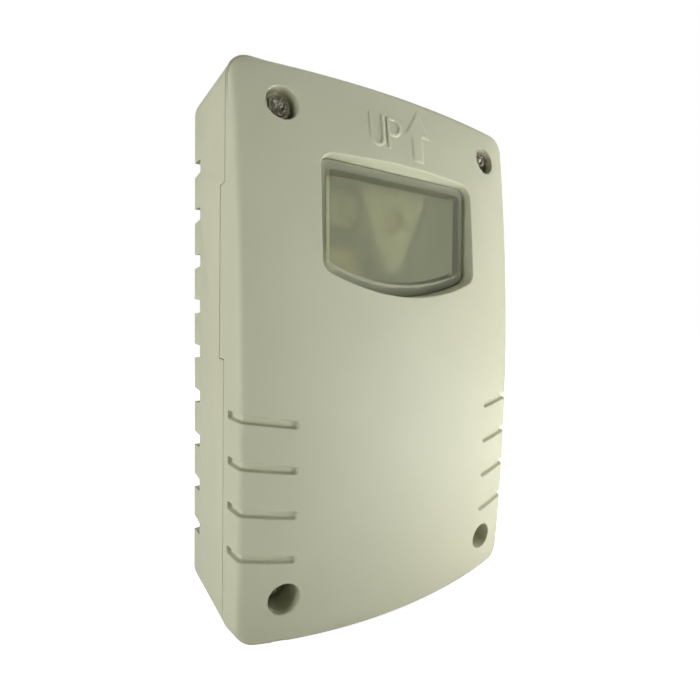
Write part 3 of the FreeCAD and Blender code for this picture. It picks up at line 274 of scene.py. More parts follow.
class Shell:
    """A mesh in the making, whose points are shared wherever two faces meet."""

    def __init__(self):
        self.points, self.normals, self.faces, self.known = [], {}, [], {}

    def point(self, place, normal=None):
        key = tuple(round(float(value), 5) for value in place)
        if key not in self.known:
            self.known[key] = len(self.points)
            self.points.append(key)
        index = self.known[key]
        if normal is not None:
            self.normals[index] = normal
        return index

    def ring(self, places):
        return [self.point(place) for place in places]

    def face(self, *corners):
        seen = list(dict.fromkeys(corners))
        if len(seen) > 2:
            self.faces.append(seen)

    def bridge(self, first, second):
        """A band of faces between two rings that run the same way round."""
        for i in range(len(first)):
            j = (i + 1) % len(first)
            self.face(first[i], first[j], second[j], second[i])

    def bands(self, rings):
        for first, second in zip(rings, rings[1:]):
            self.bridge(first, second)

    def patch(self, loops, free, place, normal=None):
        """Triangles within the first flat loop and outside the others, put in place in space."""
        flat, triangles = fill(loops, free)
        index = [self.point(place(*p), normal(*p) if normal else None) for p in flat]
        for triangle in triangles:
            self.face(*[index[i] for i in triangle])

    def object(self, name, slot, *nodes, body="housing"):
        """The finished object. Each corner's normal leans to the larger faces, so flats stay flat."""
        mesh = bpy.data.meshes.new(name)
        mesh.from_pydata([tuple(value * MM for value in p) for p in self.points], [], self.faces)
        form = bmesh.new()
        form.from_mesh(mesh)
        bmesh.ops.recalc_face_normals(form, faces=form.faces)
        form.to_mesh(mesh)
        form.free()
        mesh.polygons.foreach_set("use_smooth", [True] * len(mesh.polygons))
        leaning = np.zeros((len(mesh.vertices), 3))
        for face in mesh.polygons:
            leaning[list(face.vertices)] += np.array(face.normal) * face.area
        for index, normal in self.normals.items():
            sign = 1 if np.dot(normal, leaning[index]) >= 0 else -1
            leaning[index] = np.array(normal) * sign
        lengths = np.linalg.norm(leaning, axis=1, keepdims=True)
        mesh.normals_split_custom_set_from_vertices(leaning / np.maximum(lengths, 1e-12))
        mesh.materials.append(FINISHES[slot])
        obj = bpy.data.objects.new(name, mesh)
        bpy.context.scene.collection.objects.link(obj)
        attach(obj, body)
        if nodes:
            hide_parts(*nodes)
        return obj


def inside(points, loops):
    """Which points lie within the first loop and outside the others."""
    points = np.asarray(points)
    odd = np.zeros(len(points), bool)
    for loop in loops:
        ends = np.asarray(loop)
        for (ax, az), (bx, bz) in zip(ends, np.roll(ends, -1, axis=0)):
            spans = (az > points[:, 1]) != (bz > points[:, 1])
            if az != bz:
                border = ax + (points[:, 1] - az) / (bz - az) * (bx - ax)
                odd ^= spans & (points[:, 0] < border)
    return odd


def fill(loops, free):
    """Triangles within the first loop and outside the others, through the free points."""
    flat, edges = [], []
    for loop in loops:
        start = len(flat)
        flat += [tuple(p) for p in loop]
        edges += [(start + i, start + (i + 1) % len(loop)) for i in range(len(loop))]
    flat += [tuple(p) for p in free]
    found = delaunay_2d_cdt([Vector(p) for p in flat], edges, [], 0, 1e-5)
    places = [flat[source[0]] for source in found[3]]
    triangles = np.array([list(t) for t in found[2]])
    middles = np.array(places)[triangles].mean(axis=1)
    return places, triangles[inside(middles, loops)]


def clear_of(points, loops, gap):
    """The points that lie within the first loop, outside the others and further than gap from all."""
    points = np.asarray(points)
    points = points[inside(points, loops)]
    rims = np.concatenate([np.asarray(loop) for loop in loops])
    far = np.array([np.min(np.hypot(*(rims - p).T)) > gap for p in points])
    return points[far]


def lattice(half, low, high, step):
    """Staggered points over a rectangle."""
    points = []
    for row, z in enumerate(np.arange(low, high, step * 0.87)):
        for x in np.arange(-half + (row % 2) * step / 2, half, step):
            points.append((x, z))
    return points


class Outline:
    """An outline with straight sides, a bowed top and bottom and round corners."""

    def __init__(self, half, top, top_bow, low, low_bow, corner):
        self.half, self.corner, self.side = half, corner, half - corner
        self.bows = ((top - top_bow, top_bow), (low + low_bow, low_bow))
        self.levels = []
        for sign, (centre, bow) in zip((1, -1), self.bows):
            self.levels.append(centre + sign * math.sqrt((bow - corner) ** 2 - self.side**2))

    def samples(self, sides, turns, bows, extra=()):
        """Points anticlockwise round the outline, each with the direction that points outwards there."""
        top, low = self.levels
        levels = sorted([*np.linspace(low, top, sides + 1), *extra])
        right = [((self.half, z), (1.0, 0.0)) for z in levels]
        quarter = []
        for level, (centre, _) in zip(self.levels, self.bows):
            bend = math.atan2(level - centre, self.side)
            angles = np.linspace(0, bend, turns + 1)[1:]
            rounded = []
            for angle in angles:
                way = (math.cos(angle), math.sin(angle))
                rounded.append(((self.side + self.corner * way[0], level + self.corner * way[1]), way))
            quarter.append(rounded)
        found = right + quarter[0]
        found += self.bow(0, bows)
        found += [((-x, z), (-a, b)) for (x, z), (a, b) in reversed(quarter[0])]
        found += [((-x, z), (-a, b)) for (x, z), (a, b) in reversed(right)]
        found += [((-x, z), (-a, b)) for (x, z), (a, b) in quarter[1]]
        found += self.bow(1, bows)
        found += reversed(quarter[1])
        return found

    def bow(self, which, steps):
        """Points of the top or the bottom between the corners, in anticlockwise order."""
        centre, radius = self.bows[which]
        first = math.atan2(self.levels[which] - centre, self.side)
        if which == 0:
            angles = np.linspace(first, math.pi - first, steps + 1)[1:-1]
        else:
            angles = np.linspace(-math.pi - first, first, steps + 1)[1:-1]
        found = []
        for angle in angles:
            way = (math.cos(angle), math.sin(angle))
            found.append(((radius * way[0], centre + radius * way[1]), way))
        return found

    def foot(self, x, z):
        """How far outside the outline a point is, and the direction that points outwards there."""
        sign, x = math.copysign(1, x), abs(x)
        for level, (centre, _) in zip(self.levels, self.bows):
            across, along, reach = x - self.side, z - level, level - centre
            if across > 0 and along * reach > 0 and across * abs(reach) > abs(along) * self.side:
                far = math.hypot(across, along)
                return far - self.corner, (sign * across / far, along / far)
        best = (x - self.half, (sign, 0.0))
        for centre, bow in self.bows:
            far = math.hypot(x, z - centre)
            if far - bow > best[0]:
                best = (far - bow, (sign * x / far, (z - centre) / far))
        return best


def grown(samples, amount):
    return [(x + amount * a, z + amount * b) for (x, z), (a, b) in samples]


# Front cover: the solid's dome, walls, wells, window and grooves, with soft edges and a lower rim

HOUSING_LINE = Outline(35.95, 55.2, 820, -57.75, 205, 4.8)
PARTING, WALL = 21.3, 2.2
PARTING_INSET = PARTING * math.tan(math.radians(0.5))
COVER_DRAFT = math.tan(math.radians(4))
LIP = 0.15
DOME, DOME_LEVEL, SIDE_BOW, LONG_BOW = 31.89, -20.4, 228, 498
FRONT_LINE = Outline(35.6, 54.7, 820, -57.6, 205, 4.7)
ROUND_INSET, ROUND_RUN, WALL_RUN = 1.7, 1.7, 6.7
EDGE_FALL, FALL_HALF, FALL_LONG, FALL_MIDDLE = 1.1, 34, 56, -1.3
SLOPE_STEP, KNEE_SHARE = 0.01, 0.8
COVER_COUNTS = (34, 10, 20)
EDGE_RUNS = (*np.linspace(0, ROUND_RUN, 9), ROUND_RUN + 1.2, ROUND_RUN + 2.8, ROUND_RUN + 4.6)
SKIN_GRID, SKIN_GAP, EDGE_GAP = (32, -54, 52, 2.6), 1.1, 0.25
INNER_GRID, INNER_GAP = (33, -56, 54, 4), 1.5
TAB_LOW, TAB_HIGH, TAB_FOOT, TAB_STEP = -1, 31, 18.6, 0.02
TAB_ENDS = (TAB_LOW - TAB_STEP, TAB_LOW, TAB_HIGH, TAB_HIGH + TAB_STEP)
RIM_ROUND = ((0.02, 0.06), (0.06, 0.02), (LIP, 0))
TONGUE_INSET, TONGUE_FOOT = 1.25, 19.3

WELLS = [(x, z) for x in (-26.4, 26.4) for z in (-46, 46)]
WELL_RADIUS, WELL_SEAT, WELL_BACK, WELL_OUTSIDE, WELL_HOLE = 3.1, 22.1, 20.5, 4.5, 1.7
WELL_EDGE = 0.24
WELL_ROUND = ((0.15, 0.02), (0.07, 0.08), (0.02, 0.17), (0, 0.3))

GROOVE_START, GROOVE_LEVEL, GROOVE_PITCH, GROOVE_COUNT = 25.1, -12.7, 8.52, 4
GROOVE_SLOPE = math.tan(math.radians(9))
GROOVE_END, GROOVE_STEPS = 39.4, 28
END_STEPS, SQUARENESS = 13, 0.35
GROOVE_PROFILE = (
    (0.95, 0), (0.82, 0.03), (0.74, 0.13), (0.66, 0.4), (0.6, 0.66), (0.52, 0.82), (0.4, 0.9), (0, 0.9)
)


def dome_depth(x, z, sunk=0.0):
    """Distance from the wall of the domed front, or of the dome that lies sunk under it."""
    across = LONG_BOW - SIDE_BOW + math.sqrt((SIDE_BOW - sunk) ** 2 - x * x)
    fall = EDGE_FALL * ((x / FALL_HALF) ** 20 + ((z - FALL_MIDDLE) / FALL_LONG) ** 20) ** 0.25
    return DOME - LONG_BOW + math.sqrt(across**2 - (z - DOME_LEVEL) ** 2) - fall


def conic(start, knee, end, share):
    """A point of the round that leaves start and reaches end along the two lines that meet in the knee."""
    start, knee, end = np.array(start), np.array(knee), np.array(end)
    first, last = knee - start, end - knee
    turn = np.dot(first, last) / np.linalg.norm(first) / np.linalg.norm(last)
    weight = math.sqrt((1 + turn) / 2)
    parts = ((1 - share) ** 2, 2 * weight * share * (1 - share), share**2)
    return (parts[0] * start + parts[1] * knee + parts[2] * end) / sum(parts)


def cover_point(u, v):
    """A place of the cover's skin, unrolled so that the round edge and the wall lie outside the dome."""
    out, way = FRONT_LINE.foot(u, v)
    out += ROUND_INSET
    if out <= 0:
        return np.array((u, -dome_depth(u, v), v))
    x, z = u - out * way[0], v - out * way[1]
    depth = dome_depth(x, z)
    slope = (depth - dome_depth(x + SLOPE_STEP * way[0], z + SLOPE_STEP * way[1])) / SLOPE_STEP
    reach = ROUND_INSET - PARTING_INSET + COVER_DRAFT * PARTING
    knee_depth = (depth - slope * reach) / (1 - slope * COVER_DRAFT)
    knee = reach - COVER_DRAFT * knee_depth
    leg = min(math.hypot(knee, slope * knee), KNEE_SHARE * (knee_depth - PARTING - LIP))
    end_depth = knee_depth - leg
    end = reach - COVER_DRAFT * end_depth
    if out < ROUND_RUN:
        along, depth = conic((0, depth), (knee, knee_depth), (end, end_depth), out / ROUND_RUN)
    else:
        share = (out - ROUND_RUN) / WALL_RUN
        depth = end_depth + (PARTING + LIP - end_depth) * share
        along = end + (reach_parting((x, z), way, end) - end) * share
    return np.array((x + along * way[0], -depth, z + along * way[1]))


def reach_parting(place, way, start):
    """How far along a direction the parting line lies."""
    along = start
    for _ in range(4):
        out, _ = HOUSING_LINE.foot(place[0] + along * way[0], place[1] + along * way[1])
        along -= out + PARTING_INSET
    return along


def cover_normal(u, v, step=0.02):
    across = cover_point(u + step, v) - cover_point(u - step, v)
    along = cover_point(u, v + step) - cover_point(u, v - step)
    normal = np.cross(across, along)
    return normal / np.linalg.norm(normal)


def on_skin(u, v, lift=0.0):
    return cover_point(u, v) + cover_normal(u, v) * lift


def path_loop(path, offset, square=False):
    """A line round a path at some distance; its last end is nearly square if asked."""
    path = np.asarray(path, float)
    ways = np.gradient(path, axis=0)
    ways /= np.linalg.norm(ways, axis=1, keepdims=True)
    sides = np.stack((-ways[:, 1], ways[:, 0]), axis=1)
    loop = [path[i] - offset * sides[i] for i in range(len(path))]
    power = SQUARENESS if square else 1.0
    for angle in np.linspace(-90, 90, END_STEPS)[1:-1]:
        across, along = math.sin(math.radians(angle)), math.cos(math.radians(angle))
        reach = math.copysign(abs(across) ** power, across)
        loop.append(path[-1] + offset * (reach * sides[-1] + along**power * ways[-1]))
    loop += [path[i] + offset * sides[i] for i in reversed(range(len(path)))]
    for angle in np.linspace(90, -90, END_STEPS)[1:-1]:
        across, along = math.sin(math.radians(angle)), math.cos(math.radians(angle))
        loop.append(path[0] + offset * (across * sides[0] - along * ways[0]))
    return loop


def groove_path(side, index):
    """Middle line of a groove on the unrolled skin: aslant over the front, then level down the wall."""
    level = GROOVE_LEVEL - GROOVE_PITCH * index
    path = []
    for u in np.linspace(GROOVE_START, GROOVE_END, GROOVE_STEPS):
        rise = (cover_point(u, level)[0] - GROOVE_START) * GROOVE_SLOPE
        path.append((side * u, level + rise))
    return path


def add_groove(shell, path):
    """Cut a groove along a path of the skin and return its outermost loop."""
    rings = []
    for offset, sunk in GROOVE_PROFILE:
        loop = path_loop(path, offset, square=True)
        if sunk == 0:
            rim = loop
            rings.append([shell.point(cover_point(*p), cover_normal(*p)) for p in loop])
        else:
            rings.append(shell.ring(on_skin(*p, -sunk) for p in loop))
    shell.bands(rings)
    return rim


def circle(x, z, radius, count=48):
    turns = np.linspace(0, 2 * math.pi, count, endpoint=False)
    return [(x + radius * math.cos(a), z + radius * math.sin(a)) for a in turns]


def add_well(shell, x, z):
    """A screw well from the skin down to its seat, through the hole and up outside; returns both rims."""
    rim = circle(x, z, WELL_RADIUS + WELL_EDGE)
    rings = [[shell.point(cover_point(*p), cover_normal(*p)) for p in rim]]
    for grow, sunk in WELL_ROUND:
        edge = circle(x, z, WELL_RADIUS + grow)
        rings.append(shell.ring((a, -dome_depth(a, b) + sunk, b) for a, b in edge))
    levels = (
        (WELL_RADIUS - 0.04, WELL_SEAT + 0.3),
        (WELL_RADIUS - 0.08, WELL_SEAT + 0.1),
        (WELL_RADIUS - 0.2, WELL_SEAT),
        (WELL_HOLE + 0.1, WELL_SEAT),
        (WELL_HOLE, WELL_SEAT - 0.1),
        (WELL_HOLE, WELL_BACK),
        (WELL_OUTSIDE, WELL_BACK),
    )
    for radius, depth in levels:
        rings.append(shell.ring((a, -depth, b) for a, b in circle(x, z, radius)))
    inner = circle(x, z, WELL_OUTSIDE)
    rings.append(shell.ring((a, -dome_depth(a, b, WALL), b) for a, b in inner))
    shell.bands(rings)
    return rim, inner


# Window: outlines in its own plane, which leans back a little

WINDOW_LINE = Outline(19.4, 11.5, 20000, -14.5, 44.7, 2.6)
PANEL_LINE = Outline(19.4, 11.5, 20000, -14.5, 44.7, 3.2)
WINDOW_COUNTS = (14, 8, 26)
WINDOW_PLACE = np.array((0, -27, 26.5))
LEAN = math.radians(88)
WINDOW_UP = np.array((0, math.cos(LEAN), math.sin(LEAN)))
WINDOW_OUT = np.array((0, -math.sin(LEAN), math.cos(LEAN)))
WINDOW_DRAFT = math.tan(math.radians(12))
LENS_STEP, WINDOW_SEAT, FRAME_BORDER = 0.9, 2.6, 2.6
RIM_PROFILE = ((0.24, 0), (0.13, 0.03), (0.04, 0.1))
FLARE, FLARE_TOP, FLARE_ENDS = 0.45, 1.25, 0.1


def in_window(x, up, height):
    """A place given in the window's plane and as a height above it."""
    return WINDOW_PLACE + np.array((x, 0, 0)) + WINDOW_UP * up + WINDOW_OUT * height


def meet_dome(place, sunk=0.0):
    """The height at which place(height) comes through the dome."""
    low, high = -6.0, 12.0
    for _ in range(40):
        middle = (low + high) / 2
        x, y, z = place(middle)
        if -y < dome_depth(x, z, sunk):
            low = middle
        else:
            high = middle
    return low


def window_column(x, up, a, b):
    """The places from the skin to the inner dome, at one point of the window's outline."""

    def wall(height):
        flare = FLARE + max(0, b) ** 2 * (FLARE_TOP * (1 - (x / WINDOW_LINE.half) ** 2) - FLARE_ENDS)
        grow = flare * WINDOW_DRAFT * (height + LENS_STEP)
        return in_window(x + a * grow, up + b * grow, height)

    def back(height):
        return in_window(x + a * FRAME_BORDER, up + b * FRAME_BORDER, height)

    height = meet_dome(wall)
    edge = wall(height)
    rounds = [(edge[0] + a * grow, edge[2] + b * grow, sunk) for grow, sunk in RIM_PROFILE]
    rim = [np.array((p, -dome_depth(p, q) + sunk, q)) for p, q, sunk in rounds]
    walls = [wall(height - 0.2), wall(height - 0.4), wall(0.4), wall(-LENS_STEP)]
    seat = [in_window(x, up, -LENS_STEP - 0.02), in_window(x, up, -WINDOW_SEAT)]
    return [*rim, *walls, *seat, back(-WINDOW_SEAT), back(meet_dome(back, WALL))]


def add_window(shell):
    """The window's opening from the skin to the lens seat, and its frame behind; returns both rims."""
    columns = [window_column(*place, *way) for place, way in WINDOW_LINE.samples(*WINDOW_COUNTS)]
    outer = [(c[0][0], c[0][2]) for c in columns]
    rings = [[shell.point(c[0], cover_normal(*p)) for c, p in zip(columns, outer)]]
    rings += [shell.ring(places) for places in list(zip(*columns))[1:]]
    shell.bands(rings)
    return outer, [(c[-1][0], c[-1][2]) for c in columns]


def tabbed(level, x):
    return abs(x) > HOUSING_LINE.half - 1 and TAB_LOW <= level <= TAB_HIGH


def parting_samples(foot):
    """Points of the parting line, each with its outward direction, for the points of the wall's foot."""
    found = []
    for x, _, z in foot:
        out, (a, b) = HOUSING_LINE.foot(x, z)
        found.append(((x - out * a, z - out * b), (a, b)))
    return found


def add_rim(shell, foot):
    """From the foot of the wall round the parting edge, the side tabs and the tongue to the inner dome."""
    samples = parting_samples(foot)
    ends = [TAB_FOOT if tabbed(z, x) else PARTING for (x, z), _ in samples]
    rings = [shell.ring(foot)]
    for inset, rise in [(PARTING_INSET + inset, rise) for inset, rise in RIM_ROUND] + [(TONGUE_INSET, 0)]:
        places = zip(grown(samples, -inset), ends)
        rings.append(shell.ring((x, -end - rise, z) for (x, z), end in places))
    rings.append(shell.ring((x, -TONGUE_FOOT, z) for x, z in grown(samples, -TONGUE_INSET)))
    inner = grown(samples, -WALL)
    rings.append(shell.ring((x, -TONGUE_FOOT, z) for x, z in inner))
    rings.append(shell.ring((x, -dome_depth(x, z, WALL), z) for x, z in inner))
    shell.bands(rings)
    return inner


def add_cover():
    shell = Shell()
    samples = FRONT_LINE.samples(*COVER_COUNTS, TAB_ENDS)
    rim = grown(samples, ROUND_RUN + WALL_RUN - ROUND_INSET)
    grooves = [add_groove(shell, groove_path(side, i)) for side in (-1, 1) for i in range(GROOVE_COUNT)]
    wells = [add_well(shell, x, z) for x, z in WELLS]
    window = add_window(shell)

    loops = [rim, window[0], *[outer for outer, _ in wells], *grooves]
    free = []
    for out in EDGE_RUNS:
        free += grown(samples, out - ROUND_INSET)
    grid = lattice(*SKIN_GRID)
    core = grown(samples, -ROUND_INSET)
    free = [*clear_of(free, loops, EDGE_GAP), *clear_of(grid, [core, *loops[1:]], SKIN_GAP)]
    shell.patch(loops, free, cover_point, cover_normal)

    inner = add_rim(shell, [cover_point(*p) for p in rim])
    loops = [inner, window[1], *[back for _, back in wells]]
    free = clear_of(lattice(*INNER_GRID), loops, INNER_GAP)
    shell.patch(loops, free, lambda x, z: (x, -dome_depth(x, z, WALL), z))
    return shell.object("cover", "cover_plastic", "front_cover")


# Raised mark: the letters U and P as ridges along their strokes, and the arrow as a plateau

ARROW = ((4.5, 51.95), (0.7, 46.1), (2.35, 46.1), (2.35, 40.5), (5.2, 40.5), (5.2, 46.1), (7.55, 46.1))
RIDGE_PROFILE = ((0.5, -0.04), (0.43, 0.05), (0.35, 0.18), (0.25, 0.27), (0, 0.3))
SIDE_STEP = 1.4
PLATEAU_PROFILE = ((0.2, -0.04), (0.06, 0.06), (-0.12, 0.18), (-0.3, 0.26), (-0.46, 0.3))


def arc(x, z, radius, first, last, steps):
    angles = np.radians(np.linspace(first, last, steps + 1))
    return [(x + radius * math.cos(a), z + radius * math.sin(a)) for a in angles]


def line(start, end, steps):
    return [tuple(p) for p in np.linspace(start, end, steps + 1)]


def letter_u():
    left, right, top, bend = -8.0, -5.1, 48.35, 43.65
    radius = (right - left) / 2
    bow = arc(left + radius, bend, radius, 180, 360, 16)
    return line((left, top), (left, bend), 8)[:-1] + bow + line((right, bend), (right, top), 8)[1:]


def letter_p():
    stem, low, top, middle, straight = -3.8, 42.25, 48.35, 45.0, -2.4
    radius, corner = (top - middle) / 2, 0.45
    path = line((stem, low), (stem, top - corner), 8)[:-1]
    path += arc(stem + corner, top - corner, corner, 180, 90, 4)
    path += line((stem + corner, top), (straight, top), 2)[1:-1]
    path += arc(straight, top - radius, radius, 90, -90, 16)
    return path + line((straight, middle), (stem, middle), 3)[1:]


def add_ridge(shell, path):
    levels = [(path_loop(path, offset), lift) for offset, lift in RIDGE_PROFILE]
    shell.bands([shell.ring(on_skin(*p, lift) for p in loop) for loop, lift in levels])


def moved_out(corners, distance):
    """A polygon whose sides, run clockwise or not, lie further out by distance."""
    corners = [np.array(c, float) for c in corners]
    moved = []
    for before, here, after in zip(corners[-1:] + corners[:-1], corners, corners[1:] + corners[:1]):
        first, second = here - before, after - here
        first, second = first / np.linalg.norm(first), second / np.linalg.norm(second)
        out_first, out_second = (first[1], -first[0]), (second[1], -second[0])
        way = np.add(out_first, out_second)
        moved.append(here + distance * way / (0.5 * np.dot(way, way)))
    return moved


def sides_of(corners, offset):
    """Each side of the polygon drawn out by offset, with the count of steps that it has at any offset."""
    moved = moved_out(corners, offset)
    for i in range(len(corners)):
        j = (i + 1) % len(corners)
        length = math.dist(corners[i], corners[j])
        yield moved[i], moved[j], max(1, round(length / SIDE_STEP))


def add_plateau(shell, corners):
    rings = []
    for offset, lift in PLATEAU_PROFILE:
        loop = []
        for here, after, count in sides_of(corners, offset):
            loop += [here + (after - here) * i / count for i in range(count)]
        rings.append(shell.ring(on_skin(*p, lift) for p in loop))
    shell.bands(rings)
    shell.patch([loop], [], lambda u, v: on_skin(u, v, PLATEAU_PROFILE[-1][1]))


def add_mark():
    shell = Shell()
    add_ridge(shell, letter_u())
    add_ridge(shell, letter_p())
    add_plateau(shell, ARROW)
    return shell.object("up_mark", "cover_plastic")


# Window lens: a flange behind the cover, a ring at the step and a raised frosted panel, hollow behind

PANEL_FACES = ((-3.1, -2), (-2.45, 0))
PANEL_GRID, PANEL_GAP = (18, -15, 12, 3), 1.2
PANEL_HAZE, BEVEL_HAZE, RING_HAZE = 0.11, 0.48, 0.34
PANEL_LEVEL, BEVEL_LEVEL = -0.06, -0.88
LENS_RINGS = (
    (PANEL_LINE, *PANEL_FACES[0]),
    (PANEL_LINE, -3.1, -4.7),
    (WINDOW_LINE, 2, -4.7),
    (WINDOW_LINE, 2.1, -4.6),
    (WINDOW_LINE, 2.1, -3.3),
    (WINDOW_LINE, 2, -3.2),
    (WINDOW_LINE, -0.15, -3.2),
    (WINDOW_LINE, -0.15, -1.1),
    (WINDOW_LINE, -0.19, -0.96),
    (WINDOW_LINE, -0.32, -0.9),
    (PANEL_LINE, -1.86, -0.9),
    (PANEL_LINE, -1.97, -0.87),
    (PANEL_LINE, -2.03, -0.78),
    (PANEL_LINE, -2.28, -0.12),
    (PANEL_LINE, -2.34, -0.03),
    (PANEL_LINE, *PANEL_FACES[1]),
)


def haze_at(height):
    """How far the frosting hides what lies behind: least on the panel, most on its bevel."""
    if height > PANEL_LEVEL:
        return PANEL_HAZE
    return BEVEL_HAZE if height > BEVEL_LEVEL else RING_HAZE


def add_lens():
    shell = Shell()
    rings = []
    for outline, grow, height in LENS_RINGS:
        loop = grown(outline.samples(*WINDOW_COUNTS), grow)
        rings.append(shell.ring(in_window(x, up, height) for x, up in loop))
    shell.bands(rings)
    for grow, height in PANEL_FACES:
        loop = grown(PANEL_LINE.samples(*WINDOW_COUNTS), grow)
        free = clear_of(lattice(*PANEL_GRID), [loop], PANEL_GAP)
        shell.patch([loop], free, lambda x, up: in_window(x, up, height), lambda x, up: WINDOW_OUT)
    lens = shell.object("lens", "frosted_lens", "window_lens")
    haze = lens.data.attributes.new("haze", "FLOAT", "POINT")
    for vertex, value in zip(lens.data.vertices, haze.data):
        value.value = haze_at(float(np.dot(np.array(vertex.co) / MM - WINDOW_PLACE, WINDOW_OUT)))
    return lens


# Cover screws: stepped pan heads with a tapered cross recess, and ridged shanks

SCREW_PLAN = tuple(zip(WELLS, (20, 52, 35, 70)))
CROWN_RADIUS, CROWN_HEIGHT, CROWN_BOW, CROWN_RING = 1.68, 1.78, 14, 1.55
HEAD_STEP = (
    (1.76, 1.68), (1.8, 1.52), (1.82, 1.36), (1.84, 1.22), (1.92, 1.17),
    (2.34, 1.13), (2.45, 1.05), (2.5, 0.92), (2.5, 0.05), (2.45, 0),
)
CROSS_LEVELS = ((1.44, 0.98, 0), (1.4, 0.9, 0.05), (1.05, 0.6, 1.6))
SHANK_RADIUS, SHANK_LENGTH, SHANK_TIP = 1.4, 12, 0.7
RIDGES_START, RIDGES_END, RIDGE_STEP, RIDGE_DEPTH = 1.0, 1.2, 0.45, 0.28


def turned(x, z, a, b, angle):
    """The point that lies a along and b across from x, z, in a direction turned by angle."""
    return x + a * math.cos(angle) - b * math.sin(angle), z + a * math.sin(angle) + b * math.cos(angle)


def cross(x, z, turn, half, width):
    """The outline of a cross with its arms' corners cut a little."""
    side, cut = width / 2, width / 6
    arm = (
        (half, -side + cut), (half, side - cut), (half - cut, side),
        (side + cut, side), (side, side + cut), (side, half - cut),
    )
    return [turned(x, z, a, b, turn + step * math.pi / 2) for step in range(4) for a, b in arm]


def add_crown(shell, x, z, turn):
    """The bowed crown of a screw with its cross recess; returns the ring round it."""

    def crown(a, b, sunk=0.0):
        away = (Vector((a, b)) - Vector((x, z))).length
        return (a, -WELL_SEAT - CROWN_HEIGHT + away**2 / 2 / CROWN_BOW + sunk, b)

    rim = circle(x, z, CROWN_RADIUS)
    slots = [cross(x, z, turn, half, width) for half, width, _ in CROSS_LEVELS]
    shell.patch([rim, slots[0]], circle(x, z, CROWN_RING, 24), crown)
    walls = []
    for slot, (_, _, sunk) in zip(slots, CROSS_LEVELS):
        walls.append(shell.ring(crown(*p, sunk) for p in slot))
    shell.bands(walls)
    shell.face(*walls[-1])
    return shell.ring(crown(*p) for p in rim)


def add_screw(shell, x, z, angle):
    rings = [add_crown(shell, x, z, math.radians(angle))]
    for radius, height in HEAD_STEP:
        rings.append(shell.ring((a, -WELL_SEAT - height, b) for a, b in circle(x, z, radius)))
    rings.append(shell.ring((a, -WELL_SEAT, b) for a, b in circle(x, z, SHANK_RADIUS)))
    for ridge, depth in enumerate(np.arange(RIDGES_START, SHANK_LENGTH - RIDGES_END, RIDGE_STEP)):
        radius = SHANK_RADIUS - RIDGE_DEPTH * (ridge % 2)
        rings.append(shell.ring((a, depth - WELL_SEAT, b) for a, b in circle(x, z, radius)))
    rings.append(shell.ring((a, SHANK_LENGTH - WELL_SEAT, b) for a, b in circle(x, z, SHANK_TIP)))
    shell.bands(rings)
    shell.face(*rings[-1])


def add_screws():
    shell = Shell()
    for (x, z), angle in SCREW_PLAN:
        add_screw(shell, x, z, angle)
    return shell.object("case_screws", "screw_steel", "cover_screws")


# Carried-over solids: their own materials, and edges softened as moulding or stamping leaves them

BASE_EDGE, FINE_EDGE = 0.25, 0.08


def soften(obj, width):
    weld = obj.modifiers.new("weld", "WELD")
    weld.merge_threshold = 0.000002
    flat = obj.modifiers.new("flat", "DECIMATE")
    flat.decimate_type = "DISSOLVE"
    flat.angle_limit = math.radians(0.5)
    edges = obj.modifiers.new("edges", "BEVEL")
    edges.width = width * MM
    edges.segments = 2
    edges.limit_method = "ANGLE"
    edges.angle_limit = math.radians(32)
    edges.harden_normals = True


def dress_nodes():
    slots = {s["node"]: s["material_slot"] for s in frame["record"]["subparts"]}
    for name, obj in frame["nodes"].items():
        obj.data.materials.clear()
        obj.data.materials.append(FINISHES[slots[name]])
        obj.data.polygons.foreach_set("use_smooth", [True] * len(obj.data.polygons))
        soften(obj, BASE_EDGE if name == "rear_base" else FINE_EDGE)


# Floor: pale under the object, and white to the camera further off

FLOOR_HALF = 3.0
FLOOR_COLOUR = (0.8, 0.8, 0.8, 1)


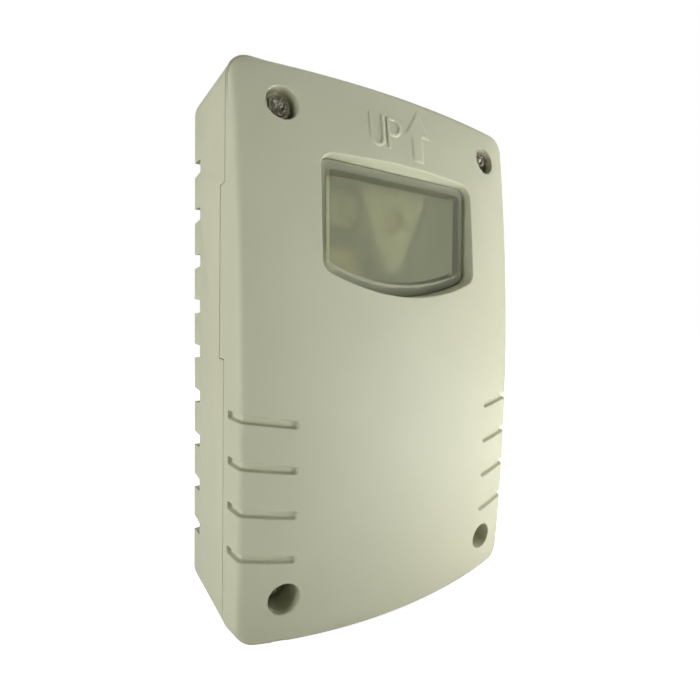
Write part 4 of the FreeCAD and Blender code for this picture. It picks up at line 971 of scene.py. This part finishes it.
def floor_material():
    mat = bpy.data.materials.new("floor")
    mat.use_nodes = True
    tree = mat.node_tree
    tree.nodes.clear()
    path = tree.nodes.new("ShaderNodeLightPath")
    own = add_node(tree, "ShaderNodeBsdfDiffuse", Color=FLOOR_COLOUR)
    place = tree.nodes.new("ShaderNodeTexCoord")
    away = tree.nodes.new("ShaderNodeVectorMath")
    away.operation = "LENGTH"
    tree.links.new(place.outputs["Object"], away.inputs[0])
    fade = add_node(tree, "ShaderNodeMapRange", From_Min=0.1, From_Max=0.3, To_Min=0.85, To_Max=1)
    tree.links.new(away.outputs["Value"], fade.inputs["Value"])
    glow = tree.nodes.new("ShaderNodeEmission")
    tree.links.new(fade.outputs[0], glow.inputs["Strength"])
    shade = tree.nodes.new("ShaderNodeAddShader")
    tree.links.new(own.outputs[0], shade.inputs[0])
    tree.links.new(glow.outputs[0], shade.inputs[1])
    mix = tree.nodes.new("ShaderNodeMixShader")
    tree.links.new(path.outputs["Is Camera Ray"], mix.inputs[0])
    tree.links.new(own.outputs[0], mix.inputs[1])
    tree.links.new(shade.outputs[0], mix.inputs[2])
    out = tree.nodes.new("ShaderNodeOutputMaterial")
    tree.links.new(mix.outputs[0], out.inputs["Surface"])
    return mat


def add_floor(level):
    mesh = bpy.data.meshes.new("floor")
    corners = [(x * FLOOR_HALF, y * FLOOR_HALF, level) for x, y in ((-1, -1), (1, -1), (1, 1), (-1, 1))]
    mesh.from_pydata(corners, [], [(0, 1, 2, 3)])
    mesh.materials.append(floor_material())
    obj = bpy.data.objects.new("floor", mesh)
    bpy.context.scene.collection.objects.link(obj)


bpy.context.scene.view_settings.view_transform = "Standard"
add_camera()
add_world(0.05)
soft_box("side", (-0.46, -0.01, 0.04), 0.25, 0.2, 1.48)
soft_box("wash", (0.16, -0.2, 0.1), 0.2, 0.2, 1.1, aim=Vector((0.16, -0.2, 0)), spread=100)
soft_box("near", (0.12, -0.17, -0.025), 0.12, 0.06, 0.13)
soft_box("far", (0.1, -0.4, 0), 0.3, 0.12, 0.08)
soft_box("graze", (0.3, -0.07, 0.12), 0.14, 0.14, 0.12)
soft_box("rear", (0.1, 0.3, 0.4), 0.3, 0.3, 0.9)
soft_box("top", (0.1, -0.05, 0.35), 0.2, 0.2, 0.34)
dress_nodes()
add_cover()
add_mark()
add_lens()
add_screws()
add_floor(start_box[0][2])
